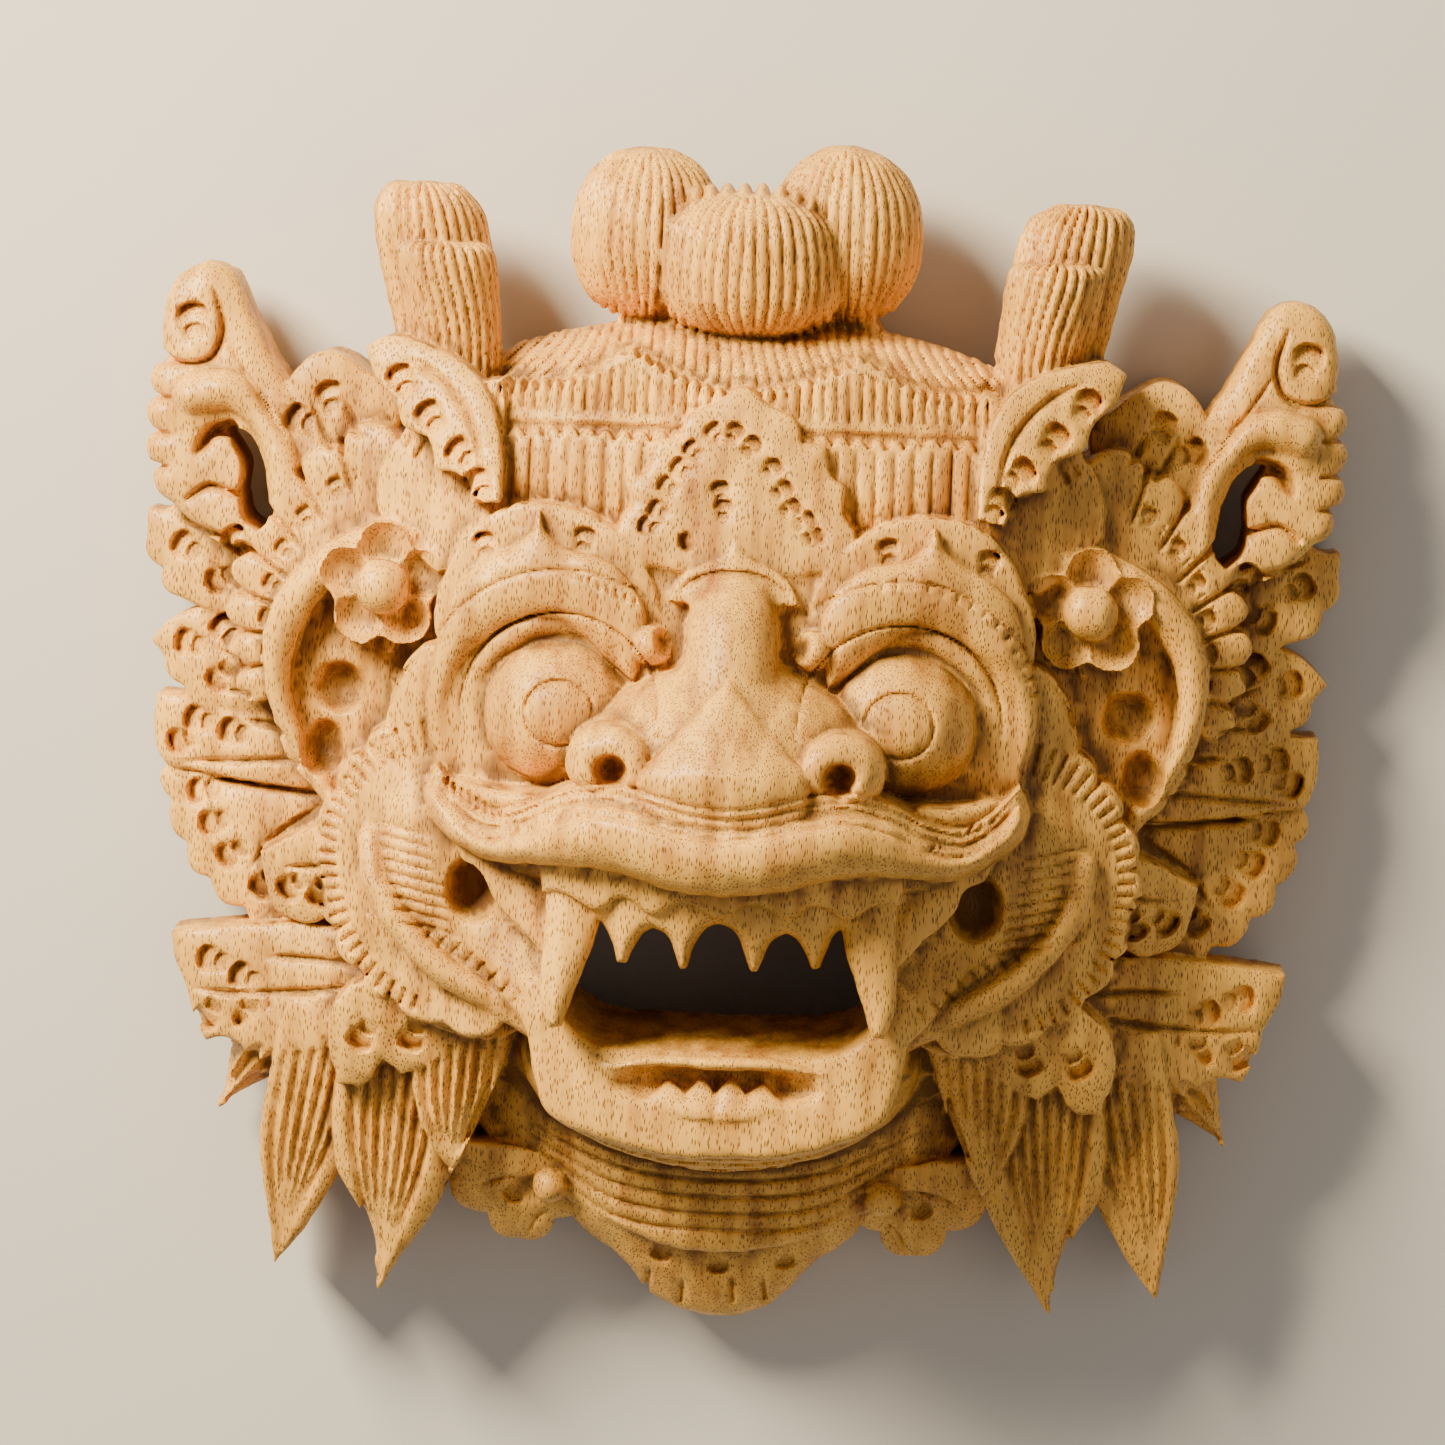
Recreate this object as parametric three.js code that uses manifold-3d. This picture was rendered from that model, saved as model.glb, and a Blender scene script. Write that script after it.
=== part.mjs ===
// Carved barong mask, one piece of wood, lying on its flat sawn back.
// Millimetres. X is the viewer's right, Y the top of the mask, Z out of the face.
import * as THREE from "three";
import { mergeVertices } from "three/addons/utils/BufferGeometryUtils.js";
import Module from "manifold-3d";

// Driving sizes of the mask.
const maskWidth = 204;
const maskHeight = 202;
const carvedDepth = 87;

// The domed block of the head, the hollow behind it and the flat rim of wood around that.
const headHalfWidth = 74;
const headHalfHeight = 73;
const headHeight = 52;
const headY = -9;
const faceWall = 12;
const backRimWidth = 13;

// The mouth, cut right through the wood.
const mouthWidth = 54;
const mouthHeight = 22.5;
const mouthFloorY = -48.5;
const mouthFloorRise = 0.11;
const jawFrontZ = 60;

// Teeth, and how far their roots stand in the gum.
const toothRoot = 1;
const toothLength = 9;
const toothWidth = 9;
const fangLength = 20;
const fangWidth = 8;
const fangOffset = 24.5;

// Eyes and nostrils.
const eyeRadius = 12.6;
const eyeOffset = 28.8;
const eyeY = 7.2;
const irisRadius = 5.7;
const irisStep = 0.5;
const nostrilRadius = 2.7;
const nostrilDepth = 9;

// Fluting of the crown, knobs and horns.
const pleatPitch = 3.5;
const pleatDepth = 1.6;
const knobFlutes = 12;
const hornFlutes = 8;
const flowerPetals = 5;
const fluteDepth = 0.06;

// Facets smaller than this are merged.
const carvingTolerance = 0.8;

// The carving is drawn in millimetres on a mask of these sizes.
// Its outlines keep their shares of the width, height and depth.
const drawn = { width: 204, height: 202, depth: 87 };
const across = (x) => (x * maskWidth) / drawn.width;
const along = (y) => (y * maskHeight) / drawn.height;
const out = (z) => (z * carvedDepth) / drawn.depth;

const wasm = await Module();
wasm.setup();

/** Volume enclosed by a closed list of triangles, negative if they face inwards. */
function signedVolume(points, corners) {
  let sum = 0;
  const a = new THREE.Vector3();
  const b = new THREE.Vector3();
  const c = new THREE.Vector3();
  for (let i = 0; i < corners.length; i += 3) {
    a.fromArray(points, corners[i] * 3);
    b.fromArray(points, corners[i + 1] * 3);
    c.fromArray(points, corners[i + 2] * 3);
    sum += a.dot(b.cross(c)) / 6;
  }
  return sum;
}

/** Turns a closed geometry into a solid, with its faces outwards. */
function solid(geometry) {
  geometry.deleteAttribute("normal");
  geometry.deleteAttribute("uv");
  const merged = mergeVertices(geometry, 1e-4);
  const points = Float32Array.from(merged.attributes.position.array);
  const corners = Uint32Array.from(merged.index.array);
  if (signedVolume(points, corners) < 0) {
    for (let i = 0; i < corners.length; i += 3) {
      [corners[i], corners[i + 1]] = [corners[i + 1], corners[i]];
    }
  }
  return new wasm.Manifold(new wasm.Mesh({ numProp: 3, vertProperties: points, triVerts: corners }));
}

/** Moves each vertex of a geometry by a function of its place. */
function reshape(geometry, move) {
  const position = geometry.attributes.position;
  const p = new THREE.Vector3();
  for (let i = 0; i < position.count; i += 1) {
    p.fromBufferAttribute(position, i);
    move(p);
    position.setXYZ(i, p.x, p.y, p.z);
  }
  return geometry;
}

/** A flat outline from drawn points, smoothed by so many steps between them. */
function outline(points, steps = 1) {
  const corners = points.map(([x, y]) => new THREE.Vector2(x, y));
  if (steps === 1) {
    return corners;
  }
  const bent = corners.map((p) => new THREE.Vector3(p.x, p.y, 0));
  const curve = new THREE.CatmullRomCurve3(bent, true, "centripetal");
  const samples = curve.getPoints(points.length * steps);
  samples.pop();
  return samples.map((p) => new THREE.Vector2(p.x, p.y));
}

/** A height that runs evenly from one drawn place to another. */
function slope(from, to) {
  const run = new THREE.Vector2(to[0] - from[0], to[1] - from[1]);
  const length = run.lengthSq();
  return (x, y) => {
    const share = ((x - from[0]) * run.x + (y - from[1]) * run.y) / length;
    return from[2] + (to[2] - from[2]) * share;
  };
}

/** A carved layer: an outline standing from its underside up to its top, with chamfered edges. */
function layer(points, top, underside, chamfer = 0) {
  const shape = new THREE.Shape(points);
  const geometry = new THREE.ExtrudeGeometry(shape, {
    depth: 1,
    bevelEnabled: chamfer > 0,
    bevelSegments: 1,
    bevelThickness: 0.5,
    bevelSize: chamfer,
    bevelOffset: -chamfer,
  });
  reshape(geometry, (p) => {
    const high = typeof top === "number" ? top : top(p.x, p.y);
    const low = typeof underside === "number" ? underside : underside(p.x, p.y);
    const edge = p.z > 1 ? chamfer : 0;
    const share = Math.min(Math.max(p.z, 0), 1);
    p.z = low + (high + edge - low) * share;
    p.set(across(p.x), along(p.y), out(p.z));
  });
  return solid(geometry);
}

/** An ellipsoid at a drawn place, with drawn half-sizes. */
function ball(centre, radii, sides = 10, rings = 6) {
  const geometry = new THREE.SphereGeometry(1, sides, rings);
  reshape(geometry, (p) => {
    p.set(
      across(centre[0] + p.x * radii[0]),
      along(centre[1] + p.y * radii[1]),
      out(centre[2] + p.z * radii[2]),
    );
  });
  return solid(geometry);
}

/** A rounded roll of wood along a drawn path, with its cross-section's half-sizes. */
function roll(path, halfWide, halfDeep, steps = 8, sides = 5) {
  const section = new THREE.Shape();
  for (let i = 0; i < sides; i += 1) {
    const turn = (i / sides) * 2 * Math.PI;
    const x = halfWide * Math.cos(turn);
    const y = halfDeep * Math.sin(turn);
    if (i === 0) {
      section.moveTo(x, y);
    } else {
      section.lineTo(x, y);
    }
  }
  section.closePath();
  const places = path.map(([x, y, z]) => new THREE.Vector3(x, y, z));
  const curve = new THREE.CatmullRomCurve3(places, false, "centripetal");
  const geometry = new THREE.ExtrudeGeometry(section, { steps, extrudePath: curve });
  reshape(geometry, (p) => p.set(across(p.x), along(p.y), out(p.z)));
  return solid(geometry);
}

/** A fluted bud standing along Y, its half-width a function of the share of its height. */
function bud(centre, radii, flutes, lean = 0, rings = 5, swell = () => 1) {
  const geometry = new THREE.SphereGeometry(1, flutes * 2, rings);
  reshape(geometry, (p) => {
    const turn = Math.atan2(p.z, p.x);
    const around = Math.hypot(p.x, p.z);
    const groove = 1 - fluteDepth * (1 - Math.cos(turn * flutes)) * Math.min(around * 2, 1);
    const wide = swell(p.y) * groove;
    p.set(
      across(centre[0] + lean * p.y + p.x * wide * radii[0]),
      along(centre[1] + p.y * radii[1]),
      out(centre[2] + p.z * wide * radii[2]),
    );
  });
  return solid(geometry);
}

/** Both halves: a solid and its mirror image across the middle. */
function bothSides(part) {
  return part.add(part.mirror([1, 0, 0]));
}

/** An edge of round lobes between drawn points, bulging to their left. */
function lobes(points, bulge, steps = 2) {
  const edge = [];
  for (let i = 0; i + 1 < points.length; i += 1) {
    const [ax, ay] = points[i];
    const [bx, by] = points[i + 1];
    const length = Math.hypot(bx - ax, by - ay);
    for (let j = 0; j <= steps; j += 1) {
      const share = j / (steps + 1);
      const rise = (bulge * Math.sin(share * Math.PI)) / length;
      edge.push([
        ax + (bx - ax) * share - (by - ay) * rise,
        ay + (by - ay) * share + (bx - ax) * rise,
      ]);
    }
  }
  edge.push(points[points.length - 1]);
  return edge;
}

/** The solid block of the head, domed in front and flat behind. */
function headBlock(halfWide, halfHigh, height, sides) {
  const profile = [
    [0, 1],
    [0.35, 0.985],
    [0.58, 0.92],
    [0.76, 0.78],
    [0.88, 0.58],
    [0.96, 0.34],
    [0.965, 0],
    [0, 0],
  ];
  const points = profile.map(([r, h]) => new THREE.Vector2(r, h));
  const geometry = new THREE.LatheGeometry(points, sides);
  reshape(geometry, (p) => {
    const high = p.y;
    const y = p.z;
    p.set(p.x * halfWide, along(headY) + y * halfHigh, high * height);
  });
  return solid(geometry);
}

/** Block of the head at its full size. */
function head() {
  return headBlock(across(headHalfWidth), along(headHalfHeight), out(headHeight), 32);
}

/** The bowl cut out behind the face. */
function hollow() {
  const bowl = headBlock(
    across(headHalfWidth) - backRimWidth,
    along(headHalfHeight) - backRimWidth,
    out(headHeight) - faceWall,
    20,
  );
  return bowl.translate([0, 0, -1]);
}

/** Y of the mouth's upper edge, from which the teeth hang. */
function mouthTop() {
  return along(mouthFloorY) + mouthHeight;
}

/** The mouth opening, through the whole depth, with a level floor. */
function mouthCut() {
  const halfWide = mouthWidth / 2;
  const floor = along(mouthFloorY);
  const points = outline([
    [-halfWide, mouthTop()],
    [-halfWide, floor + mouthHeight * 0.45],
    [-halfWide * 0.9, floor + mouthHeight * 0.16],
    [-halfWide * 0.66, floor],
    [halfWide * 0.66, floor],
    [halfWide * 0.9, floor + mouthHeight * 0.16],
    [halfWide, floor + mouthHeight * 0.45],
    [halfWide, mouthTop()],
  ]);
  const shape = new THREE.Shape(points);
  const geometry = new THREE.ExtrudeGeometry(shape, { depth: carvedDepth + 2, bevelEnabled: false });
  const middle = floor + mouthHeight / 2;
  reshape(geometry, (p) => {
    const behind = out(jawFrontZ) - p.z;
    p.y += p.y < middle ? mouthFloorRise * behind : 0;
    p.z -= 1;
  });
  return solid(geometry);
}

/** A band of upright pleats bowed around the forehead, cut to a shaped top. */
function pleatedBand({ halfWide, bottom, top, front, bow, back }) {
  const count = Math.round((2 * halfWide) / pleatPitch);
  const edge = [];
  for (let i = 0; i <= 2 * count; i += 1) {
    const x = -halfWide + (halfWide * i) / count;
    const dip = i % 2 === 0 ? pleatDepth : 0;
    edge.push([x, front - bow * (x / halfWide) ** 2 - dip]);
  }
  edge.push([halfWide, back], [-halfWide, back]);
  const geometry = new THREE.ExtrudeGeometry(new THREE.Shape(outline(edge)), {
    depth: 1,
    bevelEnabled: false,
  });
  reshape(geometry, (p) => {
    const y = p.z > 0.5 ? top(p.x) : bottom;
    p.set(across(p.x), along(y), out(p.y));
  });
  return solid(geometry);
}

/** The crown: pleated bands, the fluted cushion behind them, knobs and horns. */
function crown() {
  const lower = pleatedBand({
    halfWide: 42,
    bottom: 30,
    top: () => 53,
    front: 49,
    bow: 6,
    back: 10,
  });
  const peaks = (x) => {
    const side = Math.abs(x);
    const rise = side < 20 ? 6.5 * (side / 20) ** 1.5 : 6.5 * Math.exp(-(((side - 20) / 7) ** 1.2));
    return 59.8 + rise;
  };
  const upper = pleatedBand({
    halfWide: 45,
    bottom: 50,
    top: peaks,
    front: 45,
    bow: 6,
    back: 10,
  });
  const cushion = bud([0, 60, 14], [43, 12, 17], 16, 0, 5);
  const leftKnob = bud([-18, 85.2, 18], [13, 15, 12.5], knobFlutes);
  const rightKnob = bud([15.8, 85.9, 18], [13.2, 15.4, 12.5], knobFlutes);
  const knobSeat = layer(outline([[-30, 50], [-26, 74], [-14, 80], [14, 80], [26, 74], [30, 50]]), 22, 2);
  const frontKnob = bud([0, 81, 23], [15.4, 11.5, 13], knobFlutes);
  const full = (y) => (Math.abs(y) > 0.99 ? 1 : (1 - y ** 6) ** (1 / 6) / Math.sqrt(1 - y * y));
  const hornSwell = (y) => full(y) * (1 + 0.12 * y);
  const horn = bud([53, 76.5, 19], [9.6, 16.5, 10], hornFlutes, 3, 5, hornSwell);
  const hornFront = bud([50.3, 72.5, 24], [8, 12.5, 8.5], hornFlutes, 2, 5, hornSwell);
  const knobs = [frontKnob, leftKnob, rightKnob, knobSeat];
  return [lower, upper, cushion, ...knobs, bothSides(horn.add(hornFront))];
}

/** The pointed, lobed plaque over the nose and the brow plates beside it. */
function forehead() {
  const half = [
    [0, 60.5],
    [4, 58],
    [9, 55.5],
    [10, 52],
    [14, 51.5],
    [15, 47],
    [17.5, 45],
    [17.5, 41],
    [19.5, 38],
    [18, 32],
    [6, 31],
  ];
  const other = half.slice(1).reverse().map(([x, y]) => [-x, y]);
  const plaque = layer(outline([...half, ...other]), slope([0, 60, 46], [0, 32, 54]), 20, 1.2);
  const web = layer(
    outline([[40, 61], [50, 58], [60, 46], [60, 36], [50, 28], [42, 32], [39, 44]]),
    slope([40, 40, 44], [60, 44, 36]),
    6,
  );
  const brow = layer(outline([[-44, 26], [-40, 37], [0, 37], [40, 37], [44, 26]]), 50, 20);
  return [plaque, brow, bothSides(web)];
}

/** A brow plate, its pointed middle, the two lids and the ball of an eye. */
function eyes() {
  const plate = layer(
    outline([
      [48, 28],
      [43, 35],
      [37, 38.5],
      [33, 41],
      [29, 38.5],
      [22, 37.5],
      [16, 33],
      [13, 26],
      [14, 12],
      [30, 5],
      [48, 12],
    ]),
    slope([48, 20, 49], [14, 24, 57]),
    20,
    1.4,
  );
  const rimPoint = (turn, radius) => [
    eyeOffset + radius * Math.cos(turn),
    eyeY + radius * 1.05 * Math.sin(turn),
  ];
  const arc = (radius, from, to, height) => {
    const count = 7;
    return Array.from({ length: count }, (_, i) => {
      const turn = from + ((to - from) * i) / (count - 1);
      const [x, y] = rimPoint(turn, radius);
      return [x, y, height - 0.14 * (x - eyeOffset)];
    });
  };
  const outerLid = roll(arc(20.8, -0.45, 2.75, 53), 2.6, 3);
  const innerLid = roll(arc(15.8, -0.6, 3.5, 53), 2.3, 3.4);
  const lowerLid = roll(
    [[44, -2, 50], [38, -7, 52], [29, -8.5, 53], [20, -6, 54], [14, 0, 54]],
    2.2,
    3,
    5,
  );
  const eyeball = ball([eyeOffset, eyeY, 49.2], [eyeRadius, eyeRadius, eyeRadius], 14, 8);
  const iris = new THREE.CylinderGeometry(irisRadius, irisRadius, eyeRadius, 12);
  iris.rotateX(Math.PI / 2);
  const top = out(49.2 + eyeRadius) - eyeRadius / 2 + irisStep;
  iris.translate(across(eyeOffset), along(eyeY), top);
  const socket = layer(outline([[50, 14], [14, 14], [12, -2], [20, -10], [44, -8], [50, 0]]), 48, 20);
  const parts = plate.add(outerLid).add(innerLid).add(lowerLid).add(eyeball).add(socket);
  return bothSides(parts.add(solid(iris)));
}

/** The nose: ridge, pointed bulb and flared wings, with the nostrils bored. */
function nose() {
  const ridge = roll([[0, 31, 50], [0, 24, 58], [0, 14, 65], [0, 5, 72]], 7.6, 7.6, 4, 8);
  const bulb = ball([0, 1.5, 69], [13.5, 9.5, 16.5], 12, 7);
  const point = roll([[-12, 2, 74], [-6, 8, 78], [0, 12.5, 78], [6, 8, 78], [12, 2, 74]], 4, 5, 6);
  const wing = ball([18.2, 1.2, 69], [7.4, 7, 8.5], 9, 5);
  const filling = ball([0, 1, 54], [24, 15, 23], 8, 5);
  return [ridge, bulb, point, filling, bothSides(wing)];
}

/** The two nostril bores. */
function nostrils() {
  const bore = new THREE.CylinderGeometry(nostrilRadius, nostrilRadius, nostrilDepth, 8);
  bore.rotateX(Math.PI / 2);
  bore.translate(across(18), along(0.8), out(77.5) - nostrilDepth / 2 + 1);
  return bothSides(solid(bore));
}

/** The rolled upper lip, the muzzle behind it and the flaps at the mouth's corners. */
function upperLip() {
  const path = [
    [-49, -9.5, 56],
    [-42, -14, 61],
    [-31, -12.5, 70],
    [-19, -11.5, 77],
    [0, -13.5, 80.5],
    [19, -11.5, 77],
    [31, -12.5, 70],
    [42, -14, 61],
    [49, -9.5, 56],
  ];
  const lip = roll(path, 5.6, 5.2, 14, 6);
  const muzzle = layer(
    outline([[-50, -4], [-20, -3], [20, -3], [50, -4], [44, -17], [24, -21], [-24, -21], [-44, -17]]),
    (x) => 78 - 0.0105 * x * x,
    20,
  );
  const gum = layer(
    outline([[-30, -17], [30, -17], [28, -25.5], [0, -26.5], [-28, -25.5]]),
    (x) => 73.5 - 0.0095 * x * x,
    22,
  );
  const flap = layer(
    outline([[46, -12], [43, -19], [36, -26], [28.5, -33.5], [27.5, -24], [32, -17]]),
    slope([44, -14, 55], [28, -33, 62]),
    30,
  );
  return [lip, muzzle, gum, bothSides(flap)];
}

/** A tapering tooth hanging from the gum. */
function tooth(x, height, length, wide, deep) {
  const geometry = new THREE.ConeGeometry(1, 1, 6, 1);
  const root = mouthTop() + toothRoot;
  reshape(geometry, (p) => {
    const share = 0.5 - p.y;
    p.set(
      across(x) + (p.x * wide) / 2,
      root - length * (1 - share),
      out(height) + (p.z * deep) / 2,
    );
  });
  return solid(geometry);
}

/** Four front teeth and the two long fangs. */
function teeth() {
  const outerTooth = tooth(16, 69, toothLength, toothWidth, toothWidth);
  const innerTooth = tooth(6, 71.5, toothLength, toothWidth, toothWidth);
  const fang = roll(
    [
      [fangOffset, -22, 65],
      [fangOffset, -26 - fangLength * 0.2, 67],
      [fangOffset + 0.4, -24 - fangLength * 0.6, 67],
      [fangOffset + 1, -24 - fangLength, 66],
    ],
    fangWidth * 0.36,
    fangWidth * 0.42,
    5,
  );
  return [bothSides(outerTooth.add(innerTooth).add(fang))];
}

/** The lower jaw, its bevelled chin, the lower lip and its small teeth. */
function jaw() {
  const half = [
    [27, -34],
    [33, -38],
    [31.5, -46],
    [30.5, -53],
    [27.5, -59.5],
    [20, -63.5],
    [10, -65.5],
    [0, -66],
  ];
  const other = half.slice(0, -1).reverse().map(([x, y]) => [-x, y]);
  const front = layer(outline([...half, ...other]), slope([0, -40, jawFrontZ - 2.5], [0, -66, jawFrontZ + 2]), 12, 1.5);
  const chin = ball([0, -52, 34], [34, 20, 25], 12, 6);
  return [front, chin];
}

/** The lens-shaped hollow over the lower lip, with a row of small teeth left in it. */
function lowerLipCut() {
  return ball([0, -54.2, jawFrontZ + 3], [18, 3.6, 6], 12, 5);
}

/** The row of small teeth behind the lower lip. */
function lowerTeeth() {
  const count = 4;
  const row = [];
  for (let i = 0; i < count; i += 1) {
    const x = -9 + (18 * i) / (count - 1);
    row.push(ball([x, -55.4, jawFrontZ - 2], [2.8, 3.2, 3], 6, 4));
  }
  return row;
}

/** The carved bib under the chin, its middle plate and side rosettes. */
function bib() {
  const band = layer(
    outline([
      [-44, -56],
      [-41.5, -68],
      [-29, -78.5],
      [-20.5, -83],
      [-10, -87],
      [0, -89],
      [10, -87],
      [20.5, -83],
      [29, -78.5],
      [41.5, -68],
      [44, -56],
    ]),
    (x, y) => 26 - 0.0045 * x * x + 0.28 * (y + 84),
    0,
    1.5,
  );
  const plate = layer(
    outline([
      [-24, -78],
      [-24.5, -84],
      [-16, -91.5],
      [-11, -98],
      [-5, -101],
      [5, -101],
      [11, -98],
      [16, -91.5],
      [24.5, -84],
      [24, -78],
    ]),
    slope([0, -84, 22], [0, -101, 14]),
    slope([0, -80, 0], [0, -101, 3]),
    1,
  );
  const rosette = layer(
    outline([...lobes([[46, -80], [39, -86], [33, -90], [27, -85], [24, -80]], -1.8, 1), [30, -72], [44, -70]]),
    slope([36, -76, 25], [34, -90, 18]),
    slope([36, -70, 0], [34, -90, 4]),
  );
  const knob = ball([28.5, -77.5, 25], [3.4, 3.4, 3.4], 7, 4);
  return [band, plate, bothSides(rosette.add(knob))];
}

/** The cheeks: a scalloped fringe, the round cheek and the fold from it to the jaw. */
function cheeks() {
  const rim = [
    [37, -47.5],
    [46.5, -47],
    [55, -44],
    [61, -39.5],
    [65.5, -33],
    [68, -25.5],
    [68.5, -17.5],
    [66, -9.5],
    [61.5, -2.5],
    [56, 2],
    [49.5, 4.5],
  ];
  const fringe = layer(
    outline([...lobes(rim, -1.7, 1), [36, 4], [28, -20]]),
    slope([50, -20, 46], [69, -20, 39]),
    8,
  );
  const cheek = ball([43, -19, 38], [18.5, 22, 12], 12, 6);
  const fold = roll(
    [[59.5, -17, 42], [58, -24.5, 45], [53, -31.5, 47], [46, -38, 48.5], [38, -42, 49], [31, -46, 49]],
    2.4,
    3.4,
    6,
  );
  const below = layer(
    outline([[60, -30], [52, -46], [38, -50], [30, -46], [30, -30], [40, -26]]),
    44,
    8,
  );
  return [bothSides(fringe.add(cheek).add(fold).add(below))];
}

/** The pits at the corners of the mouth. */
function cornerPits() {
  return bothSides(ball([42, -24, 51], [4.6, 6, 9], 8, 4));
}

/** Ears, each a rolled rim round a sunken shell, with its flower. */
function ears() {
  const shell = layer(
    outline([[50, 36], [62.5, 34.5], [72, 29], [78.5, 17.5], [78, 1], [71, -10], [62, -12], [50, 4]]),
    slope([55, 12, 33], [79, 12, 29]),
    4,
  );
  const rim = roll(
    [
      [54, 33, 38],
      [62.5, 32.2, 36.5],
      [70, 28.5, 35],
      [75.5, 21, 34],
      [77.3, 12, 33],
      [76.3, 2, 32.5],
      [73, -6, 32.5],
      [68, -10.5, 33],
    ],
    2.8,
    4,
  );
  const bump = ball([68, 8, 29], [6.5, 12, 6.5], 7, 4);
  const tab = layer(
    outline([[58.5, 1], [57, 8], [52, 16], [47, 17], [46, 0]]),
    slope([47, 8, 47], [58, 4, 42]),
    20,
  );
  const parts = [shell, rim, bump, tab];
  const flower = { x: 59.2, y: 25.4, z: 41 };
  const corolla = Array.from({ length: 4 * flowerPetals }, (_, i) => {
    const turn = (i / (4 * flowerPetals)) * 2 * Math.PI;
    const reach = 10.4 - 3.2 * (0.5 + 0.5 * Math.cos(turn * flowerPetals + Math.PI / 2)) ** 3;
    return [flower.x + reach * Math.cos(turn), flower.y + reach * Math.sin(turn)];
  });
  parts.push(layer(outline(corolla), flower.z - 1, 20));
  parts.push(ball([flower.x, flower.y, flower.z], [4.8, 4.8, 4.6], 10, 6));
  return [bothSides(wasm.Manifold.union(parts))];
}

/** The hollows inside each ear. */
function earHollows() {
  const upper = ball([66.3, 7.5, 36], [4.3, 4.3, 5], 8, 4);
  const lower = ball([69.8, -3.2, 36], [3.3, 5.2, 6], 8, 4);
  return bothSides(upper.add(lower));
}

/** The fan of round lobes behind each ear. */
function fans() {
  const centre = [58, 14];
  const count = 8;
  const rim = [];
  for (let i = 0; i <= count; i += 1) {
    const share = i / count;
    const turn = -0.42 + share * 1.95;
    const reach = 25.5 + 12 * share ** 1.6;
    rim.push([centre[0] + reach * Math.cos(turn), centre[1] + reach * Math.sin(turn)]);
  }
  const fan = layer(
    outline([...lobes(rim, -1.9, 1), [50, 40], centre]),
    slope([62, 14, 32], [86, 18, 24]),
    3,
  );
  return [bothSides(fan)];
}

/** The open curls at the upper corners, with the hole through each. */
function curls() {
  const top = slope([72, 36, 26], [93, 76, 18]);
  const flame = layer(
    outline([
      [72, 30],
      [80, 28],
      [92, 32],
      ...lobes([[97, 37], [100, 43], [100.8, 49], [100.8, 55], [99.8, 61]], -1.6, 1),
      [100, 66],
      [99.5, 72],
      [97.5, 75.5],
      [93, 77.8],
      [88, 76],
      [85.5, 71],
      [82.5, 65],
      [78.5, 58.5],
      [72, 54],
      [64, 44],
    ]),
    top,
    slope([72, 36, 2], [93, 76, 8]),
  );
  const opening = layer(
    outline([[85, 49.5], [82, 46], [80.5, 41], [80, 35], [83.5, 33.5], [85.5, 37], [85.8, 43]]),
    carvedDepth,
    -1,
  );
  const scroll = roll(
    [
      [84, 53.5, 20],
      [90, 55.5, 20],
      [95.6, 51.5, 19],
      [96.6, 45, 18.5],
      [93.5, 40, 18],
    ],
    3.6,
    5,
    6,
  );
  const bead = ball([90.5, 42, 18], [5.5, 6.2, 6.5], 9, 6);
  return [bothSides(flame.add(scroll).subtract(opening).add(bead))];
}

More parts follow.
